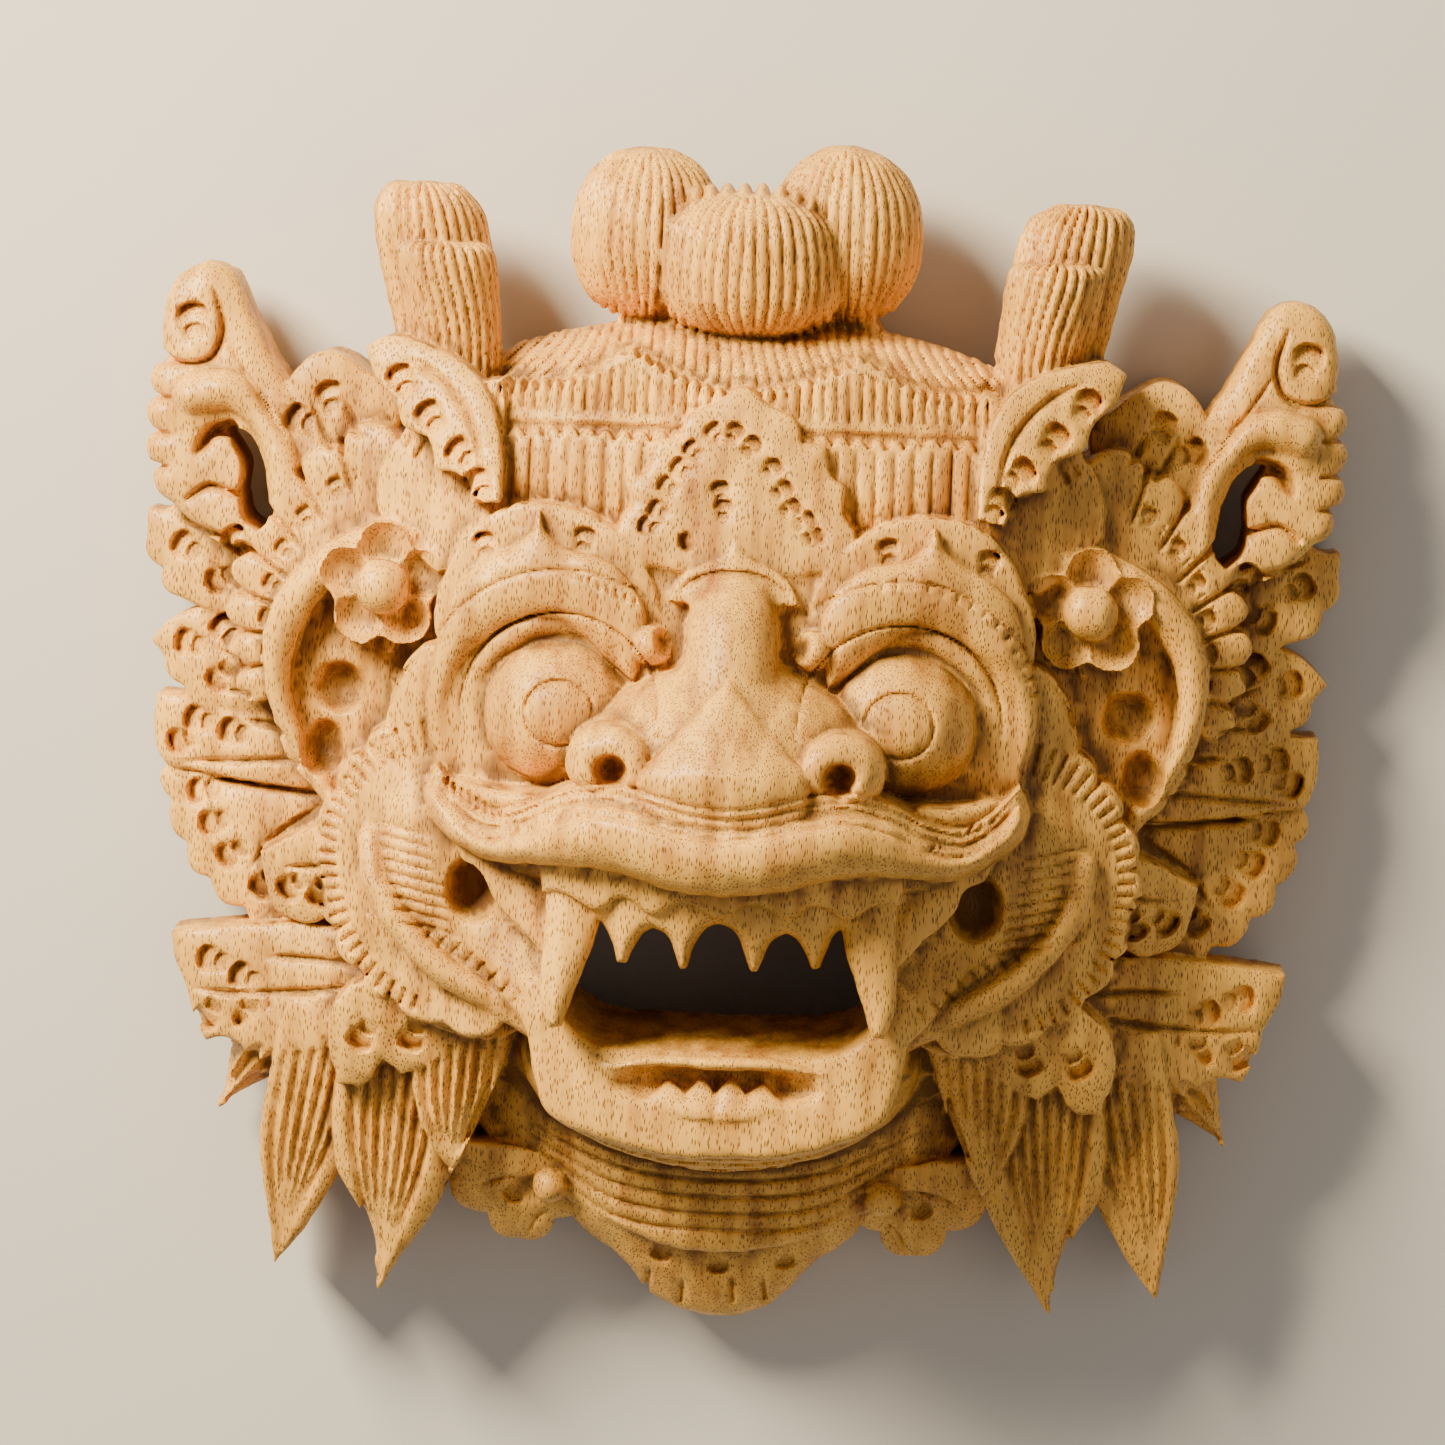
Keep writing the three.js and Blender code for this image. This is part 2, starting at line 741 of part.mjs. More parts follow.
/** Leaves of the rim and beard, from the top corner down. */
function leaves() {
  const rimLeaf = (points, root, tip, thick) => {
    const top = slope(root, tip);
    return layer(outline(points), top, (x, y) => Math.max(top(x, y) - thick, 1));
  };
  const parts = [];
  // Leaf with two lobes behind the crown, and the three-lobed flame beside the crown.
  parts.push(
    rimLeaf(
      [[60, 42], [72, 40], [77, 47], [77.8, 58], [75.5, 61.5], [71.5, 63.7], [67.5, 62.5], [58, 56]],
      [60, 44, 28],
      [72, 62, 22],
      20,
    ),
    rimLeaf(
      [
        [63, 64.5],
        [60.5, 66.5],
        [55.5, 65.5],
        [49, 62],
        [43, 55],
        [40, 48],
        [39.5, 41],
        [44, 40.5],
        [46, 45],
        [50, 46],
        [52, 52],
        [57, 53],
        [60, 58],
      ],
      [44, 42, 49],
      [61, 64, 35],
      16,
    ),
  );
  // Four leaves of the rim, and the web between the two lower ones.
  parts.push(
    rimLeaf(
      [[74, 26], [80, 33], [87, 34.5], [94.5, 35.5], [102, 35.2], [102, 29.5], [99.5, 24], [97, 20], [88, 17], [76, 14]],
      [76, 22, 23],
      [102, 34, 15],
      12,
    ),
    rimLeaf(
      [[72, 18], [86, 17.5], [92.5, 17.5], [97.5, 15.5], [100.5, 12.5], [97, 8], [92.5, 4], [88, 1.5], [72, 1]],
      [74, 9, 24],
      [100, 13, 16],
      12,
    ),
    rimLeaf(
      [[70, 3], [88, 1.5], [94, 3], [99.5, 3.5], [99.3, -2], [97.5, -8], [92, -9.5], [80, -11], [66, -13]],
      [72, -5, 25],
      [99, 0, 16],
      13,
    ),
    rimLeaf(
      [
        [66, -10],
        [88, -10],
        ...lobes([[97.5, -8.5], [96.5, -15], [93.5, -22], [89.5, -28], [83, -32.5], [76, -35.5]], 1.8, 1),
        [62, -36],
      ],
      [68, -20, 24],
      [97, -12, 16],
      12,
    ),
    rimLeaf(
      [[80, -21.5], [71, -17], [63, -14], [58, -30], [66, -31], [70, -33.5], [77, -31.5]],
      [63, -22, 36],
      [78, -30, 26],
      16,
    ),
  );
  // The broad lower leaf and the two-lobed one below the cheek.
  parts.push(
    rimLeaf(
      [
        [58, -34],
        [70, -34],
        [78, -34.5],
        [86, -35.5],
        [95.3, -36.8],
        [93.5, -41.5],
        [90.5, -47.5],
        [88.5, -55],
        [84.5, -54.5],
        [80.5, -57],
        [75, -57.5],
        [66.5, -55.5],
        [56, -50],
      ],
      [60, -42, 32],
      [95, -38, 22],
      14,
    ),
    rimLeaf(
      [[50, -40], [62, -42], [65, -46], [65.5, -52], [63.5, -59.7], [59.5, -58.5], [56.8, -54], [53.5, -56.7], [45.5, -51.5], [42, -44]],
      [52, -42, 40],
      [60, -60, 34],
      20,
    ),
  );
  // Beard leaves, from the outermost inwards.
  parts.push(
    rimLeaf([[84, -54], [86.8, -67.6], [77, -62], [66, -58], [66, -48], [76, -48]], [70, -52, 26], [87, -67, 19], 13),
    rimLeaf(
      [[77.5, -60], [78.5, -70], [77.8, -79], [76.6, -87], [75.8, -93.5], [71.5, -88], [68, -82.5], [65, -77], [58, -64], [60, -46], [74, -46]],
      [66, -52, 32],
      [76, -93, 23],
      17,
    ),
    rimLeaf(
      [[65.5, -60], [64.5, -76], [61, -82], [59, -89], [57.6, -96.5], [52, -88], [47, -80], [44, -66], [46, -46], [60, -46]],
      [56, -50, 34],
      [57, -96, 25],
      18,
    ),
    rimLeaf(
      [[49.5, -67], [45.2, -75], [42, -67.5], [37.5, -57.5], [34, -46], [50, -44], [51, -57]],
      [42, -46, 40],
      [45, -75, 31],
      24,
    ),
  );
  return [bothSides(wasm.Manifold.union(parts))];
}

/** Fills the voids left shut inside the wood where carved forms meet. */
function withoutVoids(wood) {
  const shells = wood.decompose().filter((shell) => shell.volume() > 0);
  return wasm.Manifold.union(shells);
}

/** Adds and cuts the carving, and stands the mask on the origin at its bottom centre. */
function carveMask() {
  const grown = wasm.Manifold.union([
    head(),
    ...crown(),
    ...forehead(),
    eyes(),
    ...nose(),
    ...upperLip(),
    ...jaw(),
    ...bib(),
    ...cheeks(),
    ...ears(),
    ...fans(),
    ...curls(),
    ...leaves(),
  ]);
  const cuts = [hollow(), mouthCut(), nostrils(), lowerLipCut(), cornerPits(), earHollows()];
  const opened = cuts.reduce((wood, cut) => wood.subtract(cut), grown);
  const toothed = wasm.Manifold.union([opened, ...teeth(), ...lowerTeeth()]);
  const trimmed = withoutVoids(toothed.trimByPlane([0, 0, 1], 0).simplify(carvingTolerance));
  const box = trimmed.boundingBox();
  const middleX = (box.min[0] + box.max[0]) / 2;
  const middleY = (box.min[1] + box.max[1]) / 2;
  return trimmed.translate([-middleX, -middleY, -box.min[2]]);
}

/** Turns a solid into a named mesh in its wood. */
function woodenMesh(name, wood) {
  const mesh = wood.getMesh();
  const geometry = new THREE.BufferGeometry();
  geometry.setAttribute("position", new THREE.BufferAttribute(mesh.vertProperties, 3));
  geometry.setIndex(new THREE.BufferAttribute(mesh.triVerts, 1));
  geometry.computeVertexNormals();
  const material = new THREE.MeshStandardMaterial({
    name: "carved_wood",
    color: 0xb98a52,
    roughness: 0.5,
    metalness: 0,
  });
  const body = new THREE.Mesh(geometry, material);
  body.name = name;
  return body;
}

const part = new THREE.Group();
part.name = "barong_mask";
part.add(woodenMesh("mask", carveMask()));

export default part;
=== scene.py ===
"""Carved barong mask lying on its back: its carving, its wood and its studio.

The mask is one block of wood whose whole front is dense relief carving. The
relief is worked out in millimetres as a distance field, as a carver takes a
block down form by form, and the surface of that field becomes the mesh. The
drawn places are in millimetres too: X to the right, Y to the crown, Z to the
front, from the middle of the flat back.
"""

import logging
import math
from collections.abc import Callable
from dataclasses import dataclass, field
from enum import Enum

import bpy
import numpy as np
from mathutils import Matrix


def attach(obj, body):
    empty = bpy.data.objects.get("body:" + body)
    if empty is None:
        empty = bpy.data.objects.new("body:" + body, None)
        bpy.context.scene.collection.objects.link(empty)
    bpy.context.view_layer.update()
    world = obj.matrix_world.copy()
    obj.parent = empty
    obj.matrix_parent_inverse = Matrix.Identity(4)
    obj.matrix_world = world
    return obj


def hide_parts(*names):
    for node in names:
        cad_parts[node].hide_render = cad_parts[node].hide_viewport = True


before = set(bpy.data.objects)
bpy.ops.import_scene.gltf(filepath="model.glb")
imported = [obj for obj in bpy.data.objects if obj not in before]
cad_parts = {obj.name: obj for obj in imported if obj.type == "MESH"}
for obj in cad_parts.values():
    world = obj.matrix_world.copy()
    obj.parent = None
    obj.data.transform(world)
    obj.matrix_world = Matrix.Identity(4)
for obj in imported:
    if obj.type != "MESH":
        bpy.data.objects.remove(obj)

import openvdb
from mathutils import Matrix, Vector

log = logging.getLogger("barong_mask")

Place = tuple[float, ...]
Height = Callable[[np.ndarray, np.ndarray], np.ndarray]

PITCH, QUICK_PITCH = 0.4, 0.8  # millimetres between two samples of the wood
MM = 0.001
FAR = 3.0  # millimetres from the surface beyond which the field stays the same
SPREAD = ((-1, 1, 1), (1, -1, 1), (1, 1, -1))  # shapes that lay X, Y and Z along three axes
CORNER = 62.0  # degrees of turn from which a drawn point stays a sharp corner


class Sides(Enum):
    """The halves of the mask that a mark of the gouge is cut on."""

    BOTH = (1, -1)
    RIGHT = (1,)


class Cut(Enum):
    """The section a gouge leaves: a V or a round channel."""

    VEE = 1
    ROUND = 2


def smooth_max(a: np.ndarray, b: np.ndarray, blend: float) -> np.ndarray:
    """Returns the larger of two fields, with the edge between them rounded.

    Args:
        a: First field, in millimetres.
        b: Second field.
        blend: Width of the rounding.

    Returns:
        The blended field.
    """
    near = np.maximum(blend - np.abs(a - b), 0.0)
    return np.maximum(a, b) + near * near * (0.25 / blend)


def smooth_min(a: np.ndarray, b: np.ndarray, blend: float) -> np.ndarray:
    """Returns the smaller of two fields, with the corner between them filled.

    Args:
        a: First field, in millimetres.
        b: Second field.
        blend: Width of the fillet.

    Returns:
        The blended field.
    """
    return -smooth_max(-a, -b, blend)


def blurred(height: np.ndarray, radius: float) -> np.ndarray:
    """Returns a map softened by a Gaussian.

    Args:
        height: Map over X and Y.
        radius: Spread of the softening, in samples.

    Returns:
        The softened map.
    """
    rows = np.fft.fftfreq(height.shape[0])[:, None]
    columns = np.fft.rfftfreq(height.shape[1])[None, :]
    keep = np.exp(-2.0 * (math.pi * radius) ** 2 * (rows**2 + columns**2))
    return np.fft.irfft2(np.fft.rfft2(height) * keep, s=height.shape)


def curve(points: list[Place], closed: bool, steps: int = 4) -> np.ndarray:
    """Returns a line bent smoothly through drawn points, sharp where they turn hard.

    Args:
        points: Drawn points of two or three coordinates.
        closed: Whether the line joins up.
        steps: Short lines between two drawn points.

    Returns:
        The bent line's points.
    """
    drawn = np.asarray(points, dtype=float)
    count = len(drawn)
    before = np.roll(drawn, 1, axis=0) if closed else np.vstack([2 * drawn[0] - drawn[1], drawn[:-1]])
    after = np.roll(drawn, -1, axis=0) if closed else np.vstack([drawn[1:], 2 * drawn[-1] - drawn[-2]])
    into = (drawn - before) / np.linalg.norm(drawn - before, axis=1)[:, None]
    out_of = (after - drawn) / np.linalg.norm(after - drawn, axis=1)[:, None]
    sharp = (into * out_of).sum(axis=1) < math.cos(math.radians(CORNER))
    bent = []
    for i in range(count if closed else count - 1):
        j = (i + 1) % count
        a, b = drawn[i], drawn[j]
        length = np.linalg.norm(b - a)
        start = (b - a) if sharp[i] else (into[i] + out_of[i]) * 0.5 * length
        end = (b - a) if sharp[j] else (into[j] + out_of[j]) * 0.5 * length
        for step in range(steps):
            t = step / steps
            bent.append(
                a * (1 + 2 * t) * (1 - t) ** 2
                + start * t * (1 - t) ** 2
                + b * t * t * (3 - 2 * t)
                + end * t * t * (t - 1)
            )
    if not closed:
        bent.append(drawn[-1])
    return np.array(bent)


def to_lines(x: np.ndarray, y: np.ndarray, line: np.ndarray) -> tuple[np.ndarray, np.ndarray]:
    """Measures how far each sample is from a line, and how far along it.

    Args:
        x: X of the samples.
        y: Y of the samples.
        line: Points of an open line.

    Returns:
        The distance in millimetres, and the share of the line's length.
    """
    lengths = np.linalg.norm(np.diff(line, axis=0), axis=1)
    whole = lengths.sum()
    nearest = np.full(np.broadcast(x, y).shape, 1e9)
    share = np.zeros_like(nearest)
    run = 0.0
    for (ax, ay), (bx, by), length in zip(line[:-1], line[1:], lengths):
        ux, uy = (bx - ax) / length, (by - ay) / length
        t = np.clip((x - ax) * ux + (y - ay) * uy, 0.0, length)
        away = np.hypot(x - ax - t * ux, y - ay - t * uy)
        closer = away < nearest
        nearest = np.where(closer, away, nearest)
        share = np.where(closer, (run + t) / whole, share)
        run += length
    return nearest, share


def to_outline(x: np.ndarray, y: np.ndarray, line: np.ndarray) -> np.ndarray:
    """Measures how far each sample is outside a closed outline, negative inside it.

    Args:
        x: X of the samples, as a column.
        y: Y of the samples, as a row.
        line: Points of the closed outline.

    Returns:
        The signed distance in millimetres.
    """
    nearest = np.full((x.size, y.size), 1e9)
    inside = np.zeros((x.size, y.size), dtype=bool)
    for (ax, ay), (bx, by) in zip(line, np.roll(line, -1, axis=0)):
        square = (bx - ax) ** 2 + (by - ay) ** 2
        if square == 0.0:
            continue
        t = np.clip(((x - ax) * (bx - ax) + (y - ay) * (by - ay)) / square, 0.0, 1.0)
        away = (x - ax - t * (bx - ax)) ** 2 + (y - ay - t * (by - ay)) ** 2
        nearest = np.minimum(nearest, away)
        if ay != by:
            crosses = ((ay > y) != (by > y)) & (x < (bx - ax) * (y - ay) / (by - ay) + ax)
            inside ^= crosses
    return np.where(inside, -1.0, 1.0) * np.sqrt(nearest)


def slope(start: Place, end: Place) -> Height:
    """Returns a height that runs evenly from one place to another.

    Args:
        start: X, Y and height of the first place.
        end: X, Y and height of the second place.

    Returns:
        The height as a function of X and Y.
    """
    run = (end[0] - start[0], end[1] - start[1])
    square = run[0] ** 2 + run[1] ** 2

    def height(x: np.ndarray, y: np.ndarray) -> np.ndarray:
        share = ((x - start[0]) * run[0] + (y - start[1]) * run[1]) / square
        return start[2] + (end[2] - start[2]) * share

    return height


def level(z: float) -> Height:
    """Returns a height that is the same everywhere.

    Args:
        z: The height.

    Returns:
        The height as a function of X and Y.
    """
    return lambda x, y: np.full(np.broadcast(x, y).shape, float(z))


def vault(height: float, bend: float, lean: float = 0.0, at: float = 0.0) -> Height:
    """Returns a height that falls away to both sides and may lean along Y.

    Args:
        height: Height on the middle line.
        bend: Fall for each square millimetre from the middle line.
        lean: Rise for each millimetre along Y.
        at: Y of the place that has the stated height.

    Returns:
        The height as a function of X and Y.
    """
    return lambda x, y: height - bend * x * x + lean * (y - at)


def ring(centre: Place, radii: Place, count: int = 16) -> list[Place]:
    """Returns places spaced evenly round an ellipse.

    Args:
        centre: X and Y of its middle.
        radii: Its half-sizes.
        count: How many places.

    Returns:
        The places, from the right end on and leftwards over the top.
    """
    turns = [2 * math.pi * i / count for i in range(count)]
    return [(centre[0] + radii[0] * math.cos(t), centre[1] + radii[1] * math.sin(t)) for t in turns]


def both(half: list[Place]) -> list[Place]:
    """Returns the outline of a form that spans both halves of the mask.

    Args:
        half: The outline's right half. Places on the middle line are used once.

    Returns:
        The right half with its mirror image after it.
    """
    return [*half, *[(-x, y) for x, y in reversed(half) if x > 0.0]]


def crossing(*half: Place) -> list[Place]:
    """Returns a line that crosses the middle line from right to left.

    Args:
        half: Places from its right end to its place on the middle line.

    Returns:
        Those places and their mirror images.
    """
    return both(list(half))


def lobed(points: list[Place], bulge: float) -> list[Place]:
    """Returns an edge of round lobes between drawn points.

    Args:
        points: Places where two lobes meet.
        bulge: How far a lobe swells to the left of the line, in millimetres.

    Returns:
        The drawn points with those of the lobes between them.
    """
    edge = []
    for (ax, ay), (bx, by) in zip(points[:-1], points[1:]):
        length = math.hypot(bx - ax, by - ay)
        edge.append((ax, ay))
        for share, rise in ((0.22, 0.7), (0.5, 1.0), (0.78, 0.7)):
            push = bulge * rise / length
            edge.append(
                (ax + (bx - ax) * share - (by - ay) * push, ay + (by - ay) * share + (bx - ax) * push)
            )
    edge.append(points[-1])
    return edge


@dataclass
class Ball:
    """An ellipsoid of wood.

    Attributes:
        centre: Its middle.
        radii: Its half-sizes along X, Y and Z.
    """

    centre: Place
    radii: Place

    def reach(self) -> tuple[Place, Place]:
        """Returns the lowest and highest corner of the form."""
        low = tuple(c - r for c, r in zip(self.centre, self.radii))
        high = tuple(c + r for c, r in zip(self.centre, self.radii))
        return low, high

    def measure(self, x: np.ndarray, y: np.ndarray, z: np.ndarray) -> np.ndarray:
        """Returns the distance of samples from the form's surface.

        Args:
            x: X of the samples.
            y: Y of the samples.
            z: Z of the samples.
        """
        a, b, c = ((p - m) / r for p, m, r in zip((x, y, z), self.centre, self.radii))
        near = np.sqrt(a * a + b * b + c * c) + 1e-6
        steep = np.sqrt(sum((part / r) ** 2 for part, r in zip((a, b, c), self.radii))) + 1e-6
        return near * (near - 1.0) / steep


@dataclass
class Roll:
    """A rounded roll of wood along a bent path.

    Attributes:
        path: Drawn places of its middle line.
        wide: Half its width.
        deep: Half its depth along Z.
        ends: Shares of the width left at its two ends.
    """

    path: list[Place]
    wide: float
    deep: float
    ends: tuple[float, float] = (1.0, 1.0)

    def reach(self) -> tuple[Place, Place]:
        """Returns the lowest and highest corner of the form."""
        line = curve(self.path, closed=False)
        pad = np.array([self.wide, self.wide, self.deep])
        return tuple(line.min(axis=0) - pad), tuple(line.max(axis=0) + pad)

    def measure(self, x: np.ndarray, y: np.ndarray, z: np.ndarray) -> np.ndarray:
        """Returns the distance of samples from the form's surface.

        Args:
            x: X of the samples.
            y: Y of the samples.
            z: Z of the samples.
        """
        line = curve(self.path, closed=False, steps=3)
        squash = self.wide / self.deep
        line[:, 2] *= squash
        lengths = np.linalg.norm(np.diff(line, axis=0), axis=1)
        whole = lengths.sum()
        nearest = None
        run = 0.0
        for a, b, length in zip(line[:-1], line[1:], lengths):
            u = (b - a) / length
            px, py, pz = x - a[0], y - a[1], z * squash - a[2]
            t = np.clip(px * u[0] + py * u[1] + pz * u[2], 0.0, length)
            away = np.sqrt((px - t * u[0]) ** 2 + (py - t * u[1]) ** 2 + (pz - t * u[2]) ** 2)
            share = (run + t) / whole
            taper = np.interp(share, (0.0, 0.35, 0.65, 1.0), (self.ends[0], 1.0, 1.0, self.ends[1]))
            away = away - self.wide * taper
            nearest = away if nearest is None else np.minimum(nearest, away)
            run += length
        return nearest


@dataclass
class Bud:
    """A fluted bud standing along Y.

    Attributes:
        centre: Its middle.
        radii: Its half-sizes along X, Y and Z.
        flutes: Flutes all round it.
        depth: Depth of a flute, in millimetres.
        lean: How far its top leans along X.
        full: Power of its outline, 2 for an ellipse and more for a fuller one.
        swell: Share by which its top is wider than its middle.
        wave: How far its flutes sway, in flutes.
    """

    centre: Place
    radii: Place
    flutes: int
    depth: float = 0.8
    lean: float = 0.0
    full: float = 2.0
    swell: float = 0.0
    wave: float = 0.3

    def reach(self) -> tuple[Place, Place]:
        """Returns the lowest and highest corner of the form."""
        grown = 1 + self.swell
        pad = (self.radii[0] * grown + abs(self.lean), self.radii[1], self.radii[2] * grown)
        low = tuple(c - r for c, r in zip(self.centre, pad))
        high = tuple(c + r for c, r in zip(self.centre, pad))
        return low, high

    def measure(self, x: np.ndarray, y: np.ndarray, z: np.ndarray) -> np.ndarray:
        """Returns the distance of samples from the form's surface.

        Args:
            x: X of the samples.
            y: Y of the samples.
            z: Z of the samples.
        """
        up = (y - self.centre[1]) / self.radii[1]
        grown = 1.0 + self.swell * np.clip(up, -1.0, 1.0)
        a = (x - self.centre[0] - self.lean * up) / (self.radii[0] * grown)
        c = (z - self.centre[2]) / (self.radii[2] * grown)
        around = np.sqrt(a * a + c * c) + 1e-6
        near = (around**self.full + np.abs(up) ** self.full) ** (1.0 / self.full) + 1e-6
        turn = np.arctan2(a, c)
        sway = self.wave * np.sin(3.1 * up + 1.3 * self.centre[0])
        rib = 1.0 - np.abs(np.cos(0.5 * self.flutes * turn + sway))
        fade = np.clip(1.6 * around / near, 0.0, 1.0)
        return (near - 1.0) * min(self.radii) + self.depth * rib * rib * fade


@dataclass
class Layer:
    """A carved layer: an outline that stands from its underside up to its top.

    Attributes:
        points: Its drawn outline.
        top: Height of its front.
        under: Height of its underside.
        edge: Width over which its front edge is rounded.
        pillow: How far its middle swells over its edges.
        spread: Distance from the edge over which the swelling runs.
        steps: Short lines between two drawn points.
    """

    points: list[Place]
    top: Height
    under: Height
    edge: float = 0.7
    pillow: float = 0.0
    spread: float = 6.0
    steps: int = 4

    def reach(self) -> tuple[Place, Place]:
        """Returns the lowest and highest corner of the form."""
        line = curve(self.points, closed=True)
        least, most = line.min(axis=0), line.max(axis=0)
        x = np.linspace(least[0], most[0], 9)[:, None]
        y = np.linspace(least[1], most[1], 9)[None, :]
        high = self.top(x, y).max() + abs(self.pillow)
        low = min(self.under(x, y).min(), 0.0)
        return (*least, low), (*most, high)

    def measure(self, x: np.ndarray, y: np.ndarray, z: np.ndarray) -> np.ndarray:
        """Returns the distance of samples from the form's surface.

        Args:
            x: X of the samples.
            y: Y of the samples.
            z: Z of the samples.
        """
        flat_x, flat_y = x[:, :, 0], y[:, :, 0]
        away = to_outline(flat_x, flat_y, curve(self.points, closed=True, steps=self.steps))
        inward = np.clip(-away / self.spread, 0.0, 1.0)
        front = self.top(flat_x, flat_y) + self.pillow * (1.0 - (1.0 - inward) ** 2)
        back = self.under(flat_x, flat_y)
        pitch = float(flat_x[1, 0] - flat_x[0, 0])
        rise_x, rise_y = np.gradient(front, pitch)
        lean = 1.0 / np.sqrt(1.0 + rise_x**2 + rise_y**2)
        over = (z - front[:, :, None]) * lean[:, :, None]
        return np.maximum(smooth_max(over, away[:, :, None], self.edge), back[:, :, None] - z)


Form = Ball | Roll | Bud | Layer


class Block:
    """The block of wood as a distance field, negative inside the wood.

    Attributes:
        pitch: Distance between two samples, in millimetres.
        axes: Places of the samples along X, Y and Z.
        wood: The field.
    """

    HALF_WIDTH, HALF_HEIGHT = 104.4, 103.2  # reach of the samples from the middle
    BELOW, ABOVE = 1.2, 87.0  # their reach below and above the flat back

    def __init__(self, pitch: float) -> None:
        """Starts with the right half of an empty block.

        Args:
            pitch: Distance between two samples, in millimetres.
        """
        self.pitch = pitch
        self.axes = [
            (np.arange(int(self.HALF_WIDTH / pitch)) + 0.5) * pitch,
            np.arange(-self.HALF_HEIGHT, self.HALF_HEIGHT, pitch),
            np.arange(-self.BELOW, self.ABOVE, pitch),
        ]
        self.wood = np.full([len(axis) for axis in self.axes], FAR, dtype=np.float32)

    def _window(self, form: Form, pad: float) -> tuple[tuple[slice, ...], list[np.ndarray]]:
        """Finds the samples near a form.

        Args:
            form: The form.
            pad: Margin around it, in millimetres.

        Returns:
            The window's slices and its coordinates, ready to broadcast.
        """
        low, high = form.reach()
        slices = []
        for axis, start, end in zip(self.axes, low, high):
            first = max(int(np.searchsorted(axis, start - pad)) - 1, 0)
            last = min(int(np.searchsorted(axis, end + pad)) + 1, len(axis))
            slices.append(slice(first, last))
        places = [axis[part].reshape(shape) for axis, part, shape in zip(self.axes, slices, SPREAD)]
        return tuple(slices), places

    def add(self, form: Form, blend: float = 0.4) -> None:
        """Adds a form to the wood.

        Args:
            form: The form.
            blend: Width of the fillet where it meets the wood.
        """
        window, places = self._window(form, FAR)
        if min(part.stop - part.start for part in window) < 3:
            return
        self.wood[window] = smooth_min(self.wood[window], form.measure(*places), blend)

    def cut(self, form: Form, blend: float = 0.5) -> None:
        """Cuts a form out of the wood.

        Args:
            form: The form.
            blend: Width over which the cut's edge is worn.
        """
        window, places = self._window(form, FAR)
        self.wood[window] = smooth_max(self.wood[window], -form.measure(*places), blend)

    def unfold(self) -> None:
        """Mirrors the right half into a whole block."""
        self.wood = np.concatenate([self.wood[::-1], self.wood])
        self.axes[0] = np.concatenate([-self.axes[0][::-1], self.axes[0]])

    def front(self) -> np.ndarray:
        """Returns the height of the foremost wood over X and Y."""
        solid = self.wood < 0.0
        first = solid[:, :, ::-1].argmax(axis=2)
        height = self.axes[2][-1] - first * self.pitch
        return np.where(solid.any(axis=2), height, -self.BELOW)


